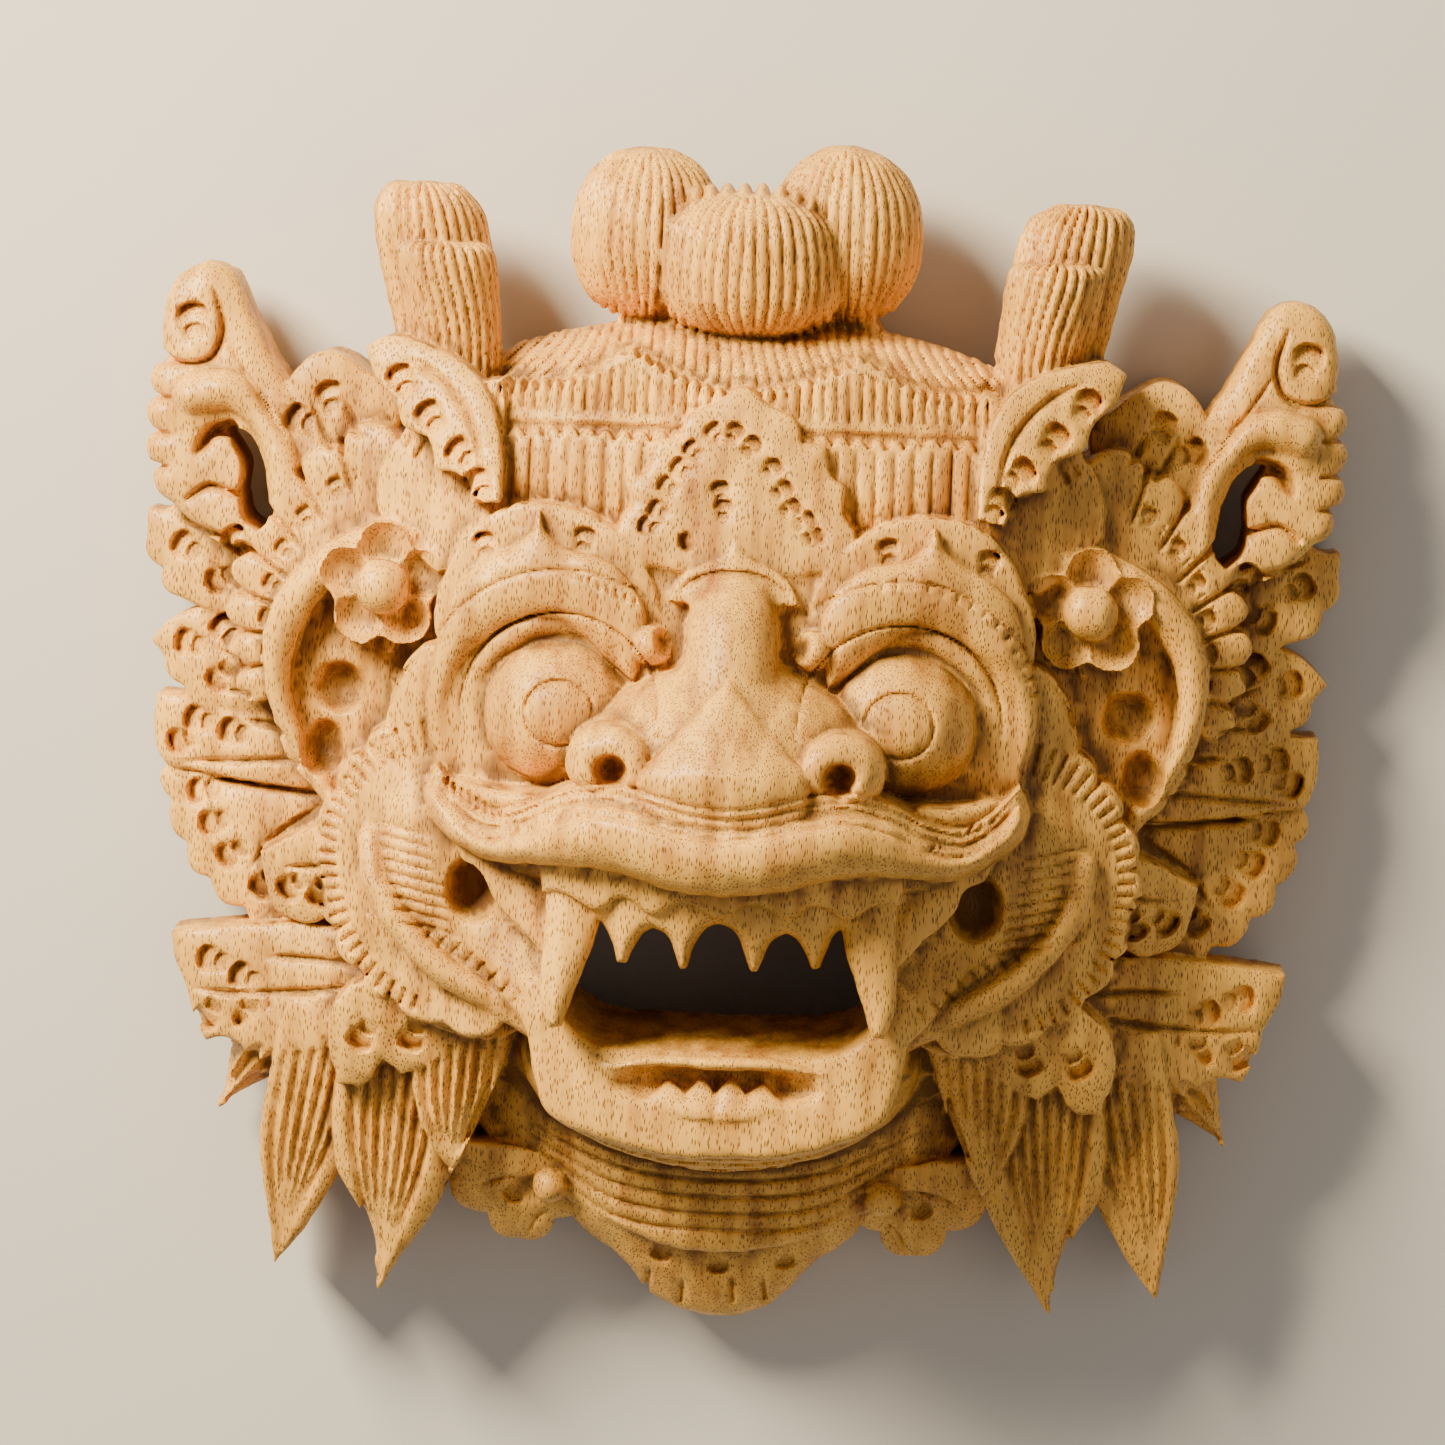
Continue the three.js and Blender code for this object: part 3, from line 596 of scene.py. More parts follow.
class Relief:
    """Marks of the gouge over the front, as a depth over X and Y.

    Attributes:
        x: X of the samples.
        y: Y of the samples.
        depth: Depth cut at each sample.
    """

    REACH, FADE = 7.0, 2.5  # depth that no mark reaches, and over which the marks run out above it
    SOFT_CLEAR = 0.6  # width over which marks end at a form in front
    BOW, TAIL, RIM = 0.75, 0.7, 0.35  # a crescent's bow and tail in half-widths, its rim in millimetres

    def __init__(self, x: np.ndarray, y: np.ndarray) -> None:
        """Starts with an uncut front.

        Args:
            x: X of the samples.
            y: Y of the samples.
        """
        self.x = x
        self.y = y
        self.depth = np.zeros((len(x), len(y)))

    def _window(
        self, low: np.ndarray, high: np.ndarray
    ) -> tuple[tuple[slice, slice], np.ndarray, np.ndarray]:
        """Finds the samples in a box.

        Args:
            low: Its lowest corner.
            high: Its highest corner.

        Returns:
            The window's slices, its X as a column and its Y as a row.
        """
        across = slice(*np.searchsorted(self.x, (low[0], high[0])))
        up = slice(*np.searchsorted(self.y, (low[1], high[1])))
        return (across, up), self.x[across][:, None], self.y[up][None, :]

    def line(
        self,
        points: list[Place],
        width: float,
        depth: float,
        cut: Cut = Cut.VEE,
        sides: Sides = Sides.BOTH,
        ends: tuple[float, float] = (0.0, 0.0),
    ) -> None:
        """Cuts a line that thins out towards its ends.

        Args:
            points: Drawn places along it.
            width: Its full width.
            depth: Its full depth.
            cut: Its section.
            sides: Halves of the mask it is cut on.
            ends: Shares of the depth left at its two ends.
        """
        for side in sides.value:
            mirrored = [(x * side, y) for x, y in points]
            path = curve(mirrored, closed=False) if len(points) > 2 else np.array(mirrored, dtype=float)
            window, x, y = self._window(path.min(axis=0) - width, path.max(axis=0) + width)
            if x.size == 0 or y.size == 0:
                continue
            away, share = to_lines(x, y, path)
            fade = np.interp(share, (0.0, 0.25, 0.75, 1.0), (ends[0], 1.0, 1.0, ends[1]))
            across = np.clip(away / (0.5 * width * (0.35 + 0.65 * fade)), 0.0, 1.0)
            section = 1.0 - across if cut is Cut.VEE else 0.5 + 0.5 * np.cos(math.pi * across)
            self.depth[window] = np.maximum(self.depth[window], depth * fade * section)

    def clear(self, area: list[Place], sides: Sides = Sides.BOTH) -> None:
        """Takes back the marks that a form in front hides.

        Args:
            area: The drawn outline of that form.
            sides: Halves of the mask it stands on.
        """
        line = curve(area, closed=True)
        for side in sides.value:
            mirrored = line * np.array([side, 1.0])
            window, x, y = self._window(mirrored.min(axis=0) - 1.0, mirrored.max(axis=0) + 1.0)
            self.depth[window] *= np.clip(0.5 + to_outline(x, y, mirrored) / self.SOFT_CLEAR, 0.0, 1.0)

    def clear_round(self, centre: Place, radii: Place, sides: Sides = Sides.BOTH) -> None:
        """Takes back the marks that a round form in front hides.

        Args:
            centre: X and Y of its middle.
            radii: Its half-sizes.
            sides: Halves of the mask it stands on.
        """
        self.clear(ring(centre, radii), sides)

    def thumb(
        self, x: float, y: float, turn: float, size: float, depth: float, sides: Sides = Sides.BOTH
    ) -> None:
        """Cuts a pair of nested thumbnail marks.

        Args:
            x: X of the middle of the outer mark.
            y: Y of it.
            turn: Direction the round edges face, in degrees from X.
            size: Width of the outer mark.
            depth: Its depth.
            sides: Halves of the mask they are cut on.
        """
        back = 0.48 * size
        facing = math.radians(turn)
        inner = (x - back * math.cos(facing), y - back * math.sin(facing))
        self.crescent(*inner, turn, 0.72 * size, 0.7 * depth, sides)
        self.crescent(x, y, turn, size, depth, sides)

    def crescent(
        self, x: float, y: float, turn: float, size: float, depth: float, sides: Sides = Sides.BOTH
    ) -> None:
        """Cuts a thumbnail mark, deep at its round edge and running out behind it.

        Args:
            x: X of its middle.
            y: Y of its middle.
            turn: Direction its round edge faces, in degrees from X.
            size: Its width.
            depth: Its depth at the round edge.
            sides: Halves of the mask it is cut on.
        """
        for side in sides.value:
            reach = np.array([size, size])
            middle = np.array([x * side, y])
            window, across, up = self._window(middle - reach, middle + reach)
            facing = math.radians(turn)
            ux, uy = math.cos(facing) * side, math.sin(facing)
            along = ((across - middle[0]) * ux + (up - middle[1]) * uy) / (0.5 * size)
            beside = ((up - middle[1]) * ux - (across - middle[0]) * uy) / (0.5 * size)
            rim = np.sqrt(np.clip(1.0 - beside**2, 0.0, 1.0)) * self.BOW
            share = np.clip((along + self.TAIL) / (rim + self.TAIL), 0.0, 1.0)
            wall = np.clip((rim - along) * size * 0.5 / self.RIM + 1.0, 0.0, 1.0)
            inside = np.clip((1.0 - np.abs(beside)) * 3.0, 0.0, 1.0)
            self.depth[window] = np.maximum(self.depth[window], depth * share * wall * inside)

    def flutes(
        self,
        area: list[Place],
        across: Height,
        pitch: float,
        depth: float,
        sides: Sides = Sides.BOTH,
        soft: float = 0.8,
        sharp: float = 1.5,
    ) -> None:
        """Cuts a row of rounded ribs with sharp valleys over an area.

        Args:
            area: Its drawn outline.
            across: Distance across the ribs as a function of X and Y.
            pitch: Distance from one rib to the next.
            depth: Depth of the valleys.
            sides: Halves of the mask it is cut on.
            soft: Distance over which the ribs run out at the outline.
            sharp: How narrow the valleys are between flat ribs.
        """
        line = curve(area, closed=True)
        for side in sides.value:
            mirrored = line * np.array([side, 1.0])
            window, x, y = self._window(mirrored.min(axis=0), mirrored.max(axis=0))
            inside = np.clip(-to_outline(x, y, mirrored) / soft, 0.0, 1.0)
            rib = 1.0 - np.abs(np.cos(math.pi * across(x * side, y) / pitch))
            self.depth[window] = np.maximum(self.depth[window], depth * rib**sharp * inside)

    def comb(
        self, first: Place, last: Place, tip: Place, count: int, width: float, depth: float, bow: float
    ) -> None:
        """Cuts lines that run together from a root towards a leaf's tip.

        Args:
            first: Root of the first line.
            last: Root of the last line.
            tip: Place they run towards.
            count: How many lines.
            width: Width of a line.
            depth: Depth of a line.
            bow: How far the outer lines bow outwards.
        """
        for i in range(count):
            share = i / max(count - 1, 1)
            root = (first[0] + (last[0] - first[0]) * share, first[1] + (last[1] - first[1]) * share)
            stop = 0.97 - 0.12 * abs(2 * share - 1)
            end = (root[0] + (tip[0] - root[0]) * stop, root[1] + (tip[1] - root[1]) * stop)
            middle = ((root[0] + end[0]) / 2 + bow * (2 * share - 1), (root[1] + end[1]) / 2)
            self.line([root, middle, end], width, depth, Cut.ROUND, ends=(0.6, 0.4))


    def press(self, block: Block) -> None:
        """Cuts the marks, and the slight sway of a hand's work, into the front of the block.

        The back is then sawn flat.

        Args:
            block: The whole block.
        """
        z = block.axes[2][None, None, :]
        below = block.front()[:, :, None] - z
        hold = np.clip((self.REACH - below) / self.FADE, 0.0, 1.0)
        x, y = self.x[:, None], self.y[None, :]
        broad = 0.16 * np.sin(0.31 * x + 0.9) * np.sin(0.27 * y)
        narrow = 0.12 * np.sin(0.83 * x + 0.6 * y) * np.sin(0.71 * y - 0.4 * x)
        block.wood += ((self.depth + (broad + narrow))[:, :, None] * hold).astype(np.float32)
        block.wood = np.maximum(block.wood, -z.astype(np.float32))


class Head:
    """The block of the head, domed in front and hollowed behind."""

    HALF_WIDE, HALF_HIGH, HEIGHT = 71.4, 70.4, 52.0
    MIDDLE_Y = -9.0
    POWER, LEAST = 2.4, 0.3  # fullness of the dome, and the share of its height left at its edge
    EDGE = 4.0  # rounding of that edge
    RIM, WALL = 13.0, 12.0  # wood left round the bowl and in front of it
    BEHIND, WORN = -10.0, 2.0  # where the cutter starts, and how worn the bowl's rim is

    def _dome(self, less_round: float, less_high: float, under: float) -> Layer:
        """Returns the domed block, or the bowl inside it.

        Args:
            less_round: Wood left around it.
            less_high: Wood left in front of it.
            under: Height of its underside.
        """
        wide, high = self.HALF_WIDE - less_round, self.HALF_HIGH - less_round
        points = ring((0.0, self.MIDDLE_Y), (wide, high), 24)

        def top(x: np.ndarray, y: np.ndarray) -> np.ndarray:
            share = np.hypot(x / wide, (y - self.MIDDLE_Y) / high)
            shape = np.sqrt(np.clip(1.0 - share**self.POWER, 0.0, 1.0))
            return (self.HEIGHT - less_high) * np.maximum(shape, self.LEAST)

        return Layer(points, top, level(under), edge=self.EDGE)

    def build(self, block: Block) -> None:
        """Adds the dome.

        Args:
            block: The block to carve.
        """
        block.add(self._dome(0.0, 0.0, 0.0))

    def hollow(self, block: Block) -> None:
        """Cuts the bowl behind the face.

        Args:
            block: The block to carve.
        """
        block.cut(self._dome(self.RIM, self.WALL, self.BEHIND), blend=self.WORN)


@dataclass
class Crown:
    """Pleated bands over the brow, the cushion behind them, knobs and horns.

    Attributes:
        band_pitch: Width of a pleat of the lower band.
        upper_pitch: Width of a pleat of the upper band.
        lower_half: Half-width of the lower band.
        upper_half: Half-width of the upper band.
    """

    band_pitch: float = 3.0
    upper_pitch: float = 2.1
    lower_half: float = 42.0
    upper_half: float = 45.0

    def _peaks(self, x: float) -> float:
        """Returns the height along Y of the upper band's top edge.

        Args:
            x: X of the place.
        """
        side = abs(x)
        rise = 6.5 * (side / 20) ** 1.5 if side < 20 else 6.5 * math.exp(-(((side - 20) / 7) ** 1.2))
        return 59.8 + rise

    def _top_edge(self) -> list[Place]:
        """Returns the top edge of the upper band, from left to right."""
        return [(float(x), self._peaks(x) + 0.4) for x in range(-36, 37, 4)]

    def build(self, block: Block) -> None:
        """Adds the crown's symmetric forms.

        Args:
            block: The block to carve.
        """
        half = self.lower_half
        tops = []
        count = int(2 * half / self.band_pitch)
        for i in range(count + 1):
            x = half - self.band_pitch * i
            tops += [(x, 51.6), (x - 0.75, 52.9), (x - 1.5, 53.3), (x - 2.25, 52.9)]

        def lower_front(x: np.ndarray, y: np.ndarray) -> np.ndarray:
            return 49.5 - 6.0 * (x / half) ** 2 - 0.02 * (y - 44.0) ** 2

        def upper_front(x: np.ndarray, y: np.ndarray) -> np.ndarray:
            return 45.5 - 6.0 * (x / self.upper_half) ** 2 - 0.012 * (y - 57.0) ** 2

        pleats = [(-half, 31), *reversed(tops), (half, 31)]
        lower = Layer(pleats, lower_front, level(10), edge=1.0, steps=1)
        zigzag = []
        steps = int(2 * self.upper_half / self.upper_pitch)
        for i in range(steps + 1):
            x = self.upper_half - self.upper_pitch * i
            zigzag += [(x, self._peaks(x) - 0.9), (x - 0.5 * self.upper_pitch, self._peaks(x) + 0.5)]
        teeth = [(-self.upper_half, 49), *reversed(zigzag), (self.upper_half, 49)]
        upper = Layer(teeth, upper_front, level(10), edge=0.8, steps=1)
        block.add(Ball((0, 58.6, 16), (47, 13.2, 23.5)))
        block.add(upper)
        block.add(lower)
        block.add(Roll([(0, 54.6, 45.2), (22, 54.6, 43.8), (43, 54.2, 39.6)], 0.6, 0.8))
        block.add(Layer(both([(14, 80), (23, 70), (27, 50)]), level(22), level(2)))
        block.add(Bud((0, 80.6, 25), (16, 12.2, 14), 42, 0.9, full=2.9))
        for x in (1.5, 4.4, 7.2, 9.8):
            block.add(Ball((x, 91.4 - 0.1 * x, 22), (1.5, 3.4, 9)), blend=0.3)
        block.add(Bud((53, 76.5, 19), (9.6, 16.4, 9.8), 28, 1.0, lean=3, full=3.6, swell=0.1, wave=0.7))
        horn = Bud((49.9, 70.5, 25.6), (8, 12.5, 8.6), 26, 1.0, lean=2, full=7.0, swell=0.12, wave=0.9)
        block.add(horn, blend=0.2)

    def stand(self, block: Block) -> None:
        """Adds the two back knobs, which differ.

        Args:
            block: The whole block.
        """
        block.add(Bud((-18, 85.2, 18), (13, 15, 12.5), 36, 0.9, full=2.15))
        block.add(Bud((15.8, 85.9, 18), (13.2, 15.4, 12.5), 36, 0.9, full=2.15))

    def carve(self, relief: Relief) -> None:
        """Cuts the pleats of the bands and the slanting flutes of the cushion.

        Args:
            relief: The marks of the gouge.
        """

        def slanting(x: np.ndarray, y: np.ndarray) -> np.ndarray:
            return x * (1.0 + 0.02 * (y - 58)) + 1.2 * np.sin(0.28 * y + 0.05 * x)

        cushion = both([(0, 57), (44, 58), (45, 65), (30, 73), (0, 74)])
        relief.flutes(cushion, slanting, 2.3, 0.8, Sides.RIGHT, sharp=2.2)
        relief.clear([(-45, 54), (-44, 60.5), *self._top_edge(), (44, 60.5), (45, 54)], Sides.RIGHT)
        upper = [(0, 55.4), (44, 55.4), (44, 60.4), (26, 61.6), (20, 64.2), (12, 61.6), (0, 59.4)]
        relief.flutes(upper, lambda x, y: x + 0.04 * (y - 55) * x / 20, self.upper_pitch, 0.9)
        half = self.lower_half
        lower = [(0, 36), (half, 36), (half, 52.2), (0, 52.2), (-half, 52.2), (-half, 36)]
        relief.flutes(
            lower, lambda x, y: x + 0.5 * np.sin(0.13 * x), self.band_pitch, 1.0, Sides.RIGHT,
            soft=1.5, sharp=2.6,
        )
        relief.clear_round((0, 80.6), (16, 12.2), Sides.RIGHT)


class Forehead:
    """The pointed, lobed plaque over the nose and the plates beside it."""

    HALF = [
        (0, 61), (4, 58.6), (9, 55.8), (10, 52.2), (14, 51.8), (15, 47.2), (17.5, 45.4), (17.3, 41),
        (19.5, 38), (18, 32), (6, 31),
    ]
    MARKS = [
        (-4.5, 53.7, 130), (-8, 50.7, 140), (-10, 47.7, 145), (-12, 44.7, 150), (-13.4, 40.7, 155),
        (-14.9, 38, 165), (-1, 53.7, 60), (2, 51.7, 50), (5.5, 48.2, 45), (7.5, 44.7, 35), (9, 41.7, 30),
        (11.4, 39.7, 25), (12.9, 37.2, 20), (-3, 44.2, 100), (-2.4, 41.3, 90),
    ]

    def build(self, block: Block) -> None:
        """Adds the plaque, the brow behind it and the webs at the temples.

        Args:
            block: The block to carve.
        """
        block.add(Layer(both([(0, 37), (40, 37), (44, 26)]), level(50), level(20)))
        web = [(40, 61), (50, 58), (60, 46), (60, 36), (50, 28), (42, 32), (39, 44)]
        block.add(Layer(web, slope((40, 40, 44), (60, 44, 36)), level(6)))
        front = slope((0, 60, 47.5), (0, 32, 54))
        block.add(Layer(both(self.HALF), front, level(20), edge=0.8, pillow=1.0, spread=8))
        root = both([(17, 34), (15.5, 6)])
        block.add(Layer(root, slope((0, 34, 52.4), (0, 8, 57)), level(30), edge=3.0), blend=2.0)
        peak = both([(0, 36.8), (1.4, 34), (4.6, 32.4), (8.6, 30), (10.6, 26)])
        block.add(Layer(peak, slope((0, 38, 54.0), (0, 26, 56.6)), level(40), edge=0.6, pillow=0.4))

    def carve(self, relief: Relief) -> None:
        """Cuts the chains of thumbnail marks.

        Args:
            relief: The marks of the gouge.
        """
        relief.clear(both(self.HALF), Sides.RIGHT)
        relief.clear([(-44, 26), (-44, 36.5), (44, 36.5), (44, 26)], Sides.RIGHT)
        relief.clear([(43, 64), (50, 64), (60, 46), (60, 36), (50, 28), (43, 32)])
        for x, y, turn in self.MARKS:
            relief.thumb(x, y, turn, 3.5, 1.9, sides=Sides.RIGHT)
        relief.crescent(-8, 35.7, 200, 3.6, 2.4, sides=Sides.RIGHT)
        for shift in (-2.6, 0.0, 2.6):
            path = [(54.4 + shift, 51.6), (57.8 + 0.8 * shift, 44.6), (58.8 + 0.4 * shift, 36.6)]
            relief.line(path, 1.6, 1.2, ends=(0.2, 0.8))


@dataclass
class Eyes:
    """A brow plate, the lids and the ball of each eye.

    PLATE is the drawn outline of the brow plate.

    Attributes:
        x: X of the ball.
        y: Y of the ball.
        radius: Radius of the ball.
        iris: Radius of the circle cut in it.
    """

    PLATE = [
        (50, 22), (46.8, 31.5), (43.4, 36.6), (38, 40), (31, 41), (23.4, 39), (16, 33.4), (12, 24),
        (13, 10), (30, 5), (48, 12),
    ]

    x: float = 28.0
    y: float = 6.3
    radius: float = 13.0
    iris: float = 5.7

    def _arc(self, radius: float, start: float, end: float, height: float) -> list[Place]:
        """Returns places on an arc around the ball.

        Args:
            radius: Its radius.
            start: First angle, in radians.
            end: Last angle.
            height: Height over the middle of the ball.
        """
        places = []
        for i in range(9):
            turn = start + (end - start) * i / 8
            x = self.x + radius * math.cos(turn)
            y = self.y + radius * math.sin(turn)
            places.append((x, y, height - 0.14 * (x - self.x)))
        return places

    def build(self, block: Block) -> None:
        """Adds the plate, the socket, the ball and the lids.

        Args:
            block: The block to carve.
        """
        orbit = ring((self.x, self.y), (22.4, 23))
        block.add(Layer(orbit, slope((50, 7, 49.4), (12, 7, 54)), level(20), edge=2.0))
        block.add(Layer(self.PLATE, slope((48, 20, 48), (14, 24, 54.5)), level(20), edge=0.8, pillow=0.6))
        ogee = [
            (48.6, 18), (46, 27), (41, 31.6), (36.4, 34), (34, 36.4), (32.8, 40.6), (31.4, 36.4),
            (28.6, 34), (22.5, 32.8), (17, 28.8), (14.4, 23), (16, 12), (30, 22), (44, 16), (49, 6),
        ]
        front = slope((48, 20, 50.6), (14, 24, 57))
        block.add(Layer(ogee, front, level(20), edge=1.0, pillow=2.2, spread=5))
        block.add(Roll(self._arc(20.8, -0.4, 2.86, 50.6), 3.7, 4.6, ends=(0.3, 0.3)), blend=0.3)
        block.add(Ball((self.x, self.y, 49.6), (self.radius, 12.4, 12.2)), blend=0.1)
        block.add(Roll(self._arc(15.4, -0.35, 3.4, 50.2), 2.8, 3.8, ends=(0.3, 0.3)), blend=0.2)

    def carve(self, relief: Relief) -> None:
        """Cuts the iris, the grooves of the lids and the marks of the brow.

        Args:
            relief: The marks of the gouge.
        """
        relief.clear(self.PLATE)
        relief.clear_round((self.x, self.y), (23.6, 24.4))
        iris = ring((self.x, self.y + 0.8), (self.iris, 0.94 * self.iris), 12)
        relief.line([*iris, iris[0]], 0.9, 0.9, ends=(1.0, 1.0))
        crease = [(x, y) for x, y, _ in self._arc(24.2, 0.1, 2.5, 0)]
        relief.line(crease, 0.9, 0.7)
        edge = [(x, y) for x, y, _ in self._arc(17.0, -0.3, 3.2, 0)]
        relief.line(edge, 0.8, 1.0, ends=(0.5, 0.5))
        for x, y, turn in ((41.8, 34.0, 80), (25.0, 35.6, 100)):
            relief.thumb(x, y, turn, 4.2, 1.9)
        for i in range(14):
            turn = 0.25 + i * 0.115
            lash = [
                (self.x + reach * math.cos(turn), self.y + reach * 1.05 * math.sin(turn))
                for reach in (21.6, 24.0)
            ]
            relief.line(lash, 0.9, 0.8, sides=Sides.RIGHT)
        for i in range(8):
            x, y = -27.0 + 1.5 * i, 31.0 - 0.62 * i
            relief.line([(x, y), (x + 0.6, y - 2.2)], 0.9, 0.8, sides=Sides.RIGHT)


class Nose:
    """The nose: its ridge, pointed bulb, flared wings and nostrils."""

    def build(self, block: Block) -> None:
        """Adds the nose.

        Args:
            block: The block to carve.
        """
        block.add(Ball((0, 1, 54), (24, 15, 23)))
        bridge = [(0, 28, 50), (0, 22, 57), (0, 13, 62), (0, 5, 63)]
        block.add(Roll(bridge, 7.6, 7.8, ends=(0.8, 1.2)), blend=2.0)
        block.add(Ball((0, 6, 58), (13.5, 11, 11)), blend=3.0)
        wing, flare = ring((19, 0.2), (7.2, 6.6)), slope((12, 0, 76), (26, -3, 72))
        block.add(Layer(wing, flare, level(56), edge=3.0, pillow=1.6, spread=4), blend=0.8)
        bulb = both([
            (0, 14.6), (2.4, 12.0), (6.2, 7.8), (9.6, 3.8), (12.4, 1.0), (14.4, -2.6), (13.4, -6.8),
            (7.5, -8.4), (0, -9),
        ])

        def front(x: np.ndarray, y: np.ndarray) -> np.ndarray:
            return 80.0 - 0.014 * x * x - 0.58 * np.maximum(y, 0.0)

        block.add(Layer(bulb, front, level(56), edge=1.4, pillow=2.2, spread=9), blend=0.3)
        block.add(Ball((13.2, 18.6, 56), (3.4, 3.4, 4)), blend=0.4)

    def cut(self, block: Block) -> None:
        """Cuts the nostrils and the pits beside the bridge.

        Args:
            block: The block to carve.
        """
        block.cut(Ball((18.6, -0.6, 77), (2.9, 2.8, 9)), blend=0.8)
        block.cut(Ball((10.6, 19.6, 58.6), (2.3, 2.8, 3.4)))

    def carve(self, relief: Relief) -> None:
        """Keeps the bulb and the wings free of marks and cuts a line arching over the top of the bridge.

        Args:
            relief: The marks of the gouge.
        """
        relief.clear_round((0, 14), (9.4, 17), Sides.RIGHT)
        relief.clear_round((18, 1), (8, 7.6))
        bridge = [(-11.6, 24), (-7, 29.4), (0, 31.2), (7, 29.4), (11.6, 24)]
        relief.line(bridge, 1.0, 0.9, sides=Sides.RIGHT)


class Mouth:
    """The rolled upper lip, gum and teeth, and the opening of the mouth."""

    LIP_TOP = [
        (0, -9.2), (5.8, -8.6), (13.6, -6.8), (20.4, -6.3), (27.3, -8.2), (33.3, -11.2), (39.3, -12.4),
        (44.2, -9.8), (48.2, -5.6),
    ]
    LIP_FOOT = [
        (0, -20), (7.8, -19.2), (15.5, -17.4), (23.8, -16.6), (31.8, -17.0), (38.8, -17.6), (44.4, -15.4),
        (49, -11.6), (50.4, -7.6),
    ]
    TOOTH_EDGE = [
        (0, -25.4), (2.4, -26.6), (4.3, -30), (5.2, -33.2), (6.4, -33.4), (7.6, -30.2), (9, -27.8),
        (10.9, -26.8), (12.6, -28), (14.2, -30.6), (15.2, -32.8), (16.6, -32.8), (17.6, -29.6),
        (19.2, -26.4), (21, -25.4),
    ]
    HALF_WIDE = 27.0  # half the opening's width
    TOP, FLOOR = -24.6, -48.5  # Y of the opening's upper edge and, at the jaw's front, of its floor
    FLOOR_RISE = 0.11  # rise of the floor for each millimetre further back
    CORNER, LIP_EDGE, WORN = 12.0, 2.0, 1.0  # roundings of its corners, its upper edge and its rim

    def build(self, block: Block) -> None:
        """Adds the muzzle, lip, gum and the flaps at the corners.

        Args:
            block: The block to carve.
        """

        def muzzle_front(x: np.ndarray, y: np.ndarray) -> np.ndarray:
            return 75.0 - 0.0095 * x * x + 0.6 * np.minimum(y + 12.0, 0.0)

        muzzle = both([(20, -5), (38, -6), (50, -4), (44, -17), (24, -21)])
        block.add(Layer(muzzle, muzzle_front, level(20), edge=2.0))
        lip = both([*self.LIP_TOP, *reversed(self.LIP_FOOT)])
        front = vault(81.5, 0.0105, 0.16, -9.0)
        block.add(Layer(lip, front, level(30), edge=2.6, pillow=2.4, spread=6), blend=0.8)
        step = [(x, y + 4.4 - 0.03 * x) for x, y in self.LIP_TOP]
        shelf = both([*step, *reversed(self.LIP_FOOT)])
        block.add(Layer(shelf, vault(78.2, 0.0103), level(30), edge=1.2, pillow=1.0), blend=0.4)
        scallops = [(26, -21.6), (20.4, -24.2), (15.8, -21.6), (11, -24.2), (5.9, -21.6), (0, -24.2)]
        gum = both([(30, -14), (29.4, -22), *scallops])
        block.add(Layer(gum, vault(73.6, 0.0095), level(22), edge=1.0, pillow=0.8, spread=3))
        flap = [(46, -12), (43, -19), (36, -26), (28.5, -33.5), (27.5, -24), (32, -17)]
        block.add(Layer(flap, slope((44, -14, 55), (28, -33, 62)), level(30), pillow=1.0))

    def open(self, block: Block) -> None:
        """Cuts the mouth through the wood, with round corners and a level floor.

        Args:
            block: The block to carve.
        """
        x, y, z = (axis.reshape(shape) for axis, shape in zip(block.axes, SPREAD))
        floor = self.FLOOR + self.FLOOR_RISE * (Jaw.FRONT - z)
        sides = smooth_max(x - self.HALF_WIDE, floor - y, self.CORNER)
        hole = smooth_max(sides, y - self.TOP, self.LIP_EDGE)
        block.wood = smooth_max(block.wood, -hole.astype(np.float32), self.WORN)

    def set_teeth(self, block: Block) -> None:
        """Adds the front teeth and the fangs.

        Args:
            block: The block to carve.
        """
        plate = both([*self.TOOTH_EDGE, (22, -18)])
        front, back = vault(70.2, 0.0105, 0.12, -26.0), vault(60.0, 0.011, -0.5, -26.0)
        block.add(Layer(plate, front, back, edge=1.2, pillow=1.8, spread=2.6), blend=0.3)
        fang = [
            (19.6, -17), (20, -26), (21.8, -33), (24.4, -40.6), (25.4, -43.6), (27.4, -43.8), (28.8, -40),
            (29.2, -33), (28.8, -26), (29, -17),
        ]
        top = slope((25, -22, 64.6), (26.4, -44, 68))
        back = slope((25, -22, 50), (26.4, -44, 63))
        block.add(Layer(fang, top, back, edge=1.0, pillow=1.6, spread=3.4), blend=0.3)

    def carve(self, relief: Relief) -> None:
        """Cuts the flowing steps of the lip and its corner marks.

        Args:
            relief: The marks of the gouge.
        """
        relief.clear(both([*self.LIP_TOP, *reversed(self.LIP_FOOT)]), Sides.RIGHT)
        for drop, deep in ((1.2, 0.6), (-2.0, 0.7), (-3.6, 0.6)):
            path = [(x, y - drop) for x, y in reversed(self.LIP_TOP)]
            relief.line(path, 1.3, deep, ends=(0.2, 0.9))
        for rise in (1.4, 2.9):
            path = [(x, y + rise - 0.02 * x) for x, y in reversed(self.LIP_TOP[2:])]
            relief.line(path, 1.2, 0.8, ends=(0.3, 0.5))
        for i in range(10):
            x, y = -46.6 + 1.4 * i, -6.4 - 0.56 * i
            relief.line([(x, y + 0.9), (x + 0.5, y - 1.0)], 1.5, 1.0, sides=Sides.RIGHT, ends=(1.0, 0.3))
        for i in range(6):
            x, y = 45.0 - 1.9 * i, -7.0 - 0.7 * i
            relief.line([(x, y), (x - 2.6, y - 3.0)], 1.0, 0.7, sides=Sides.RIGHT)


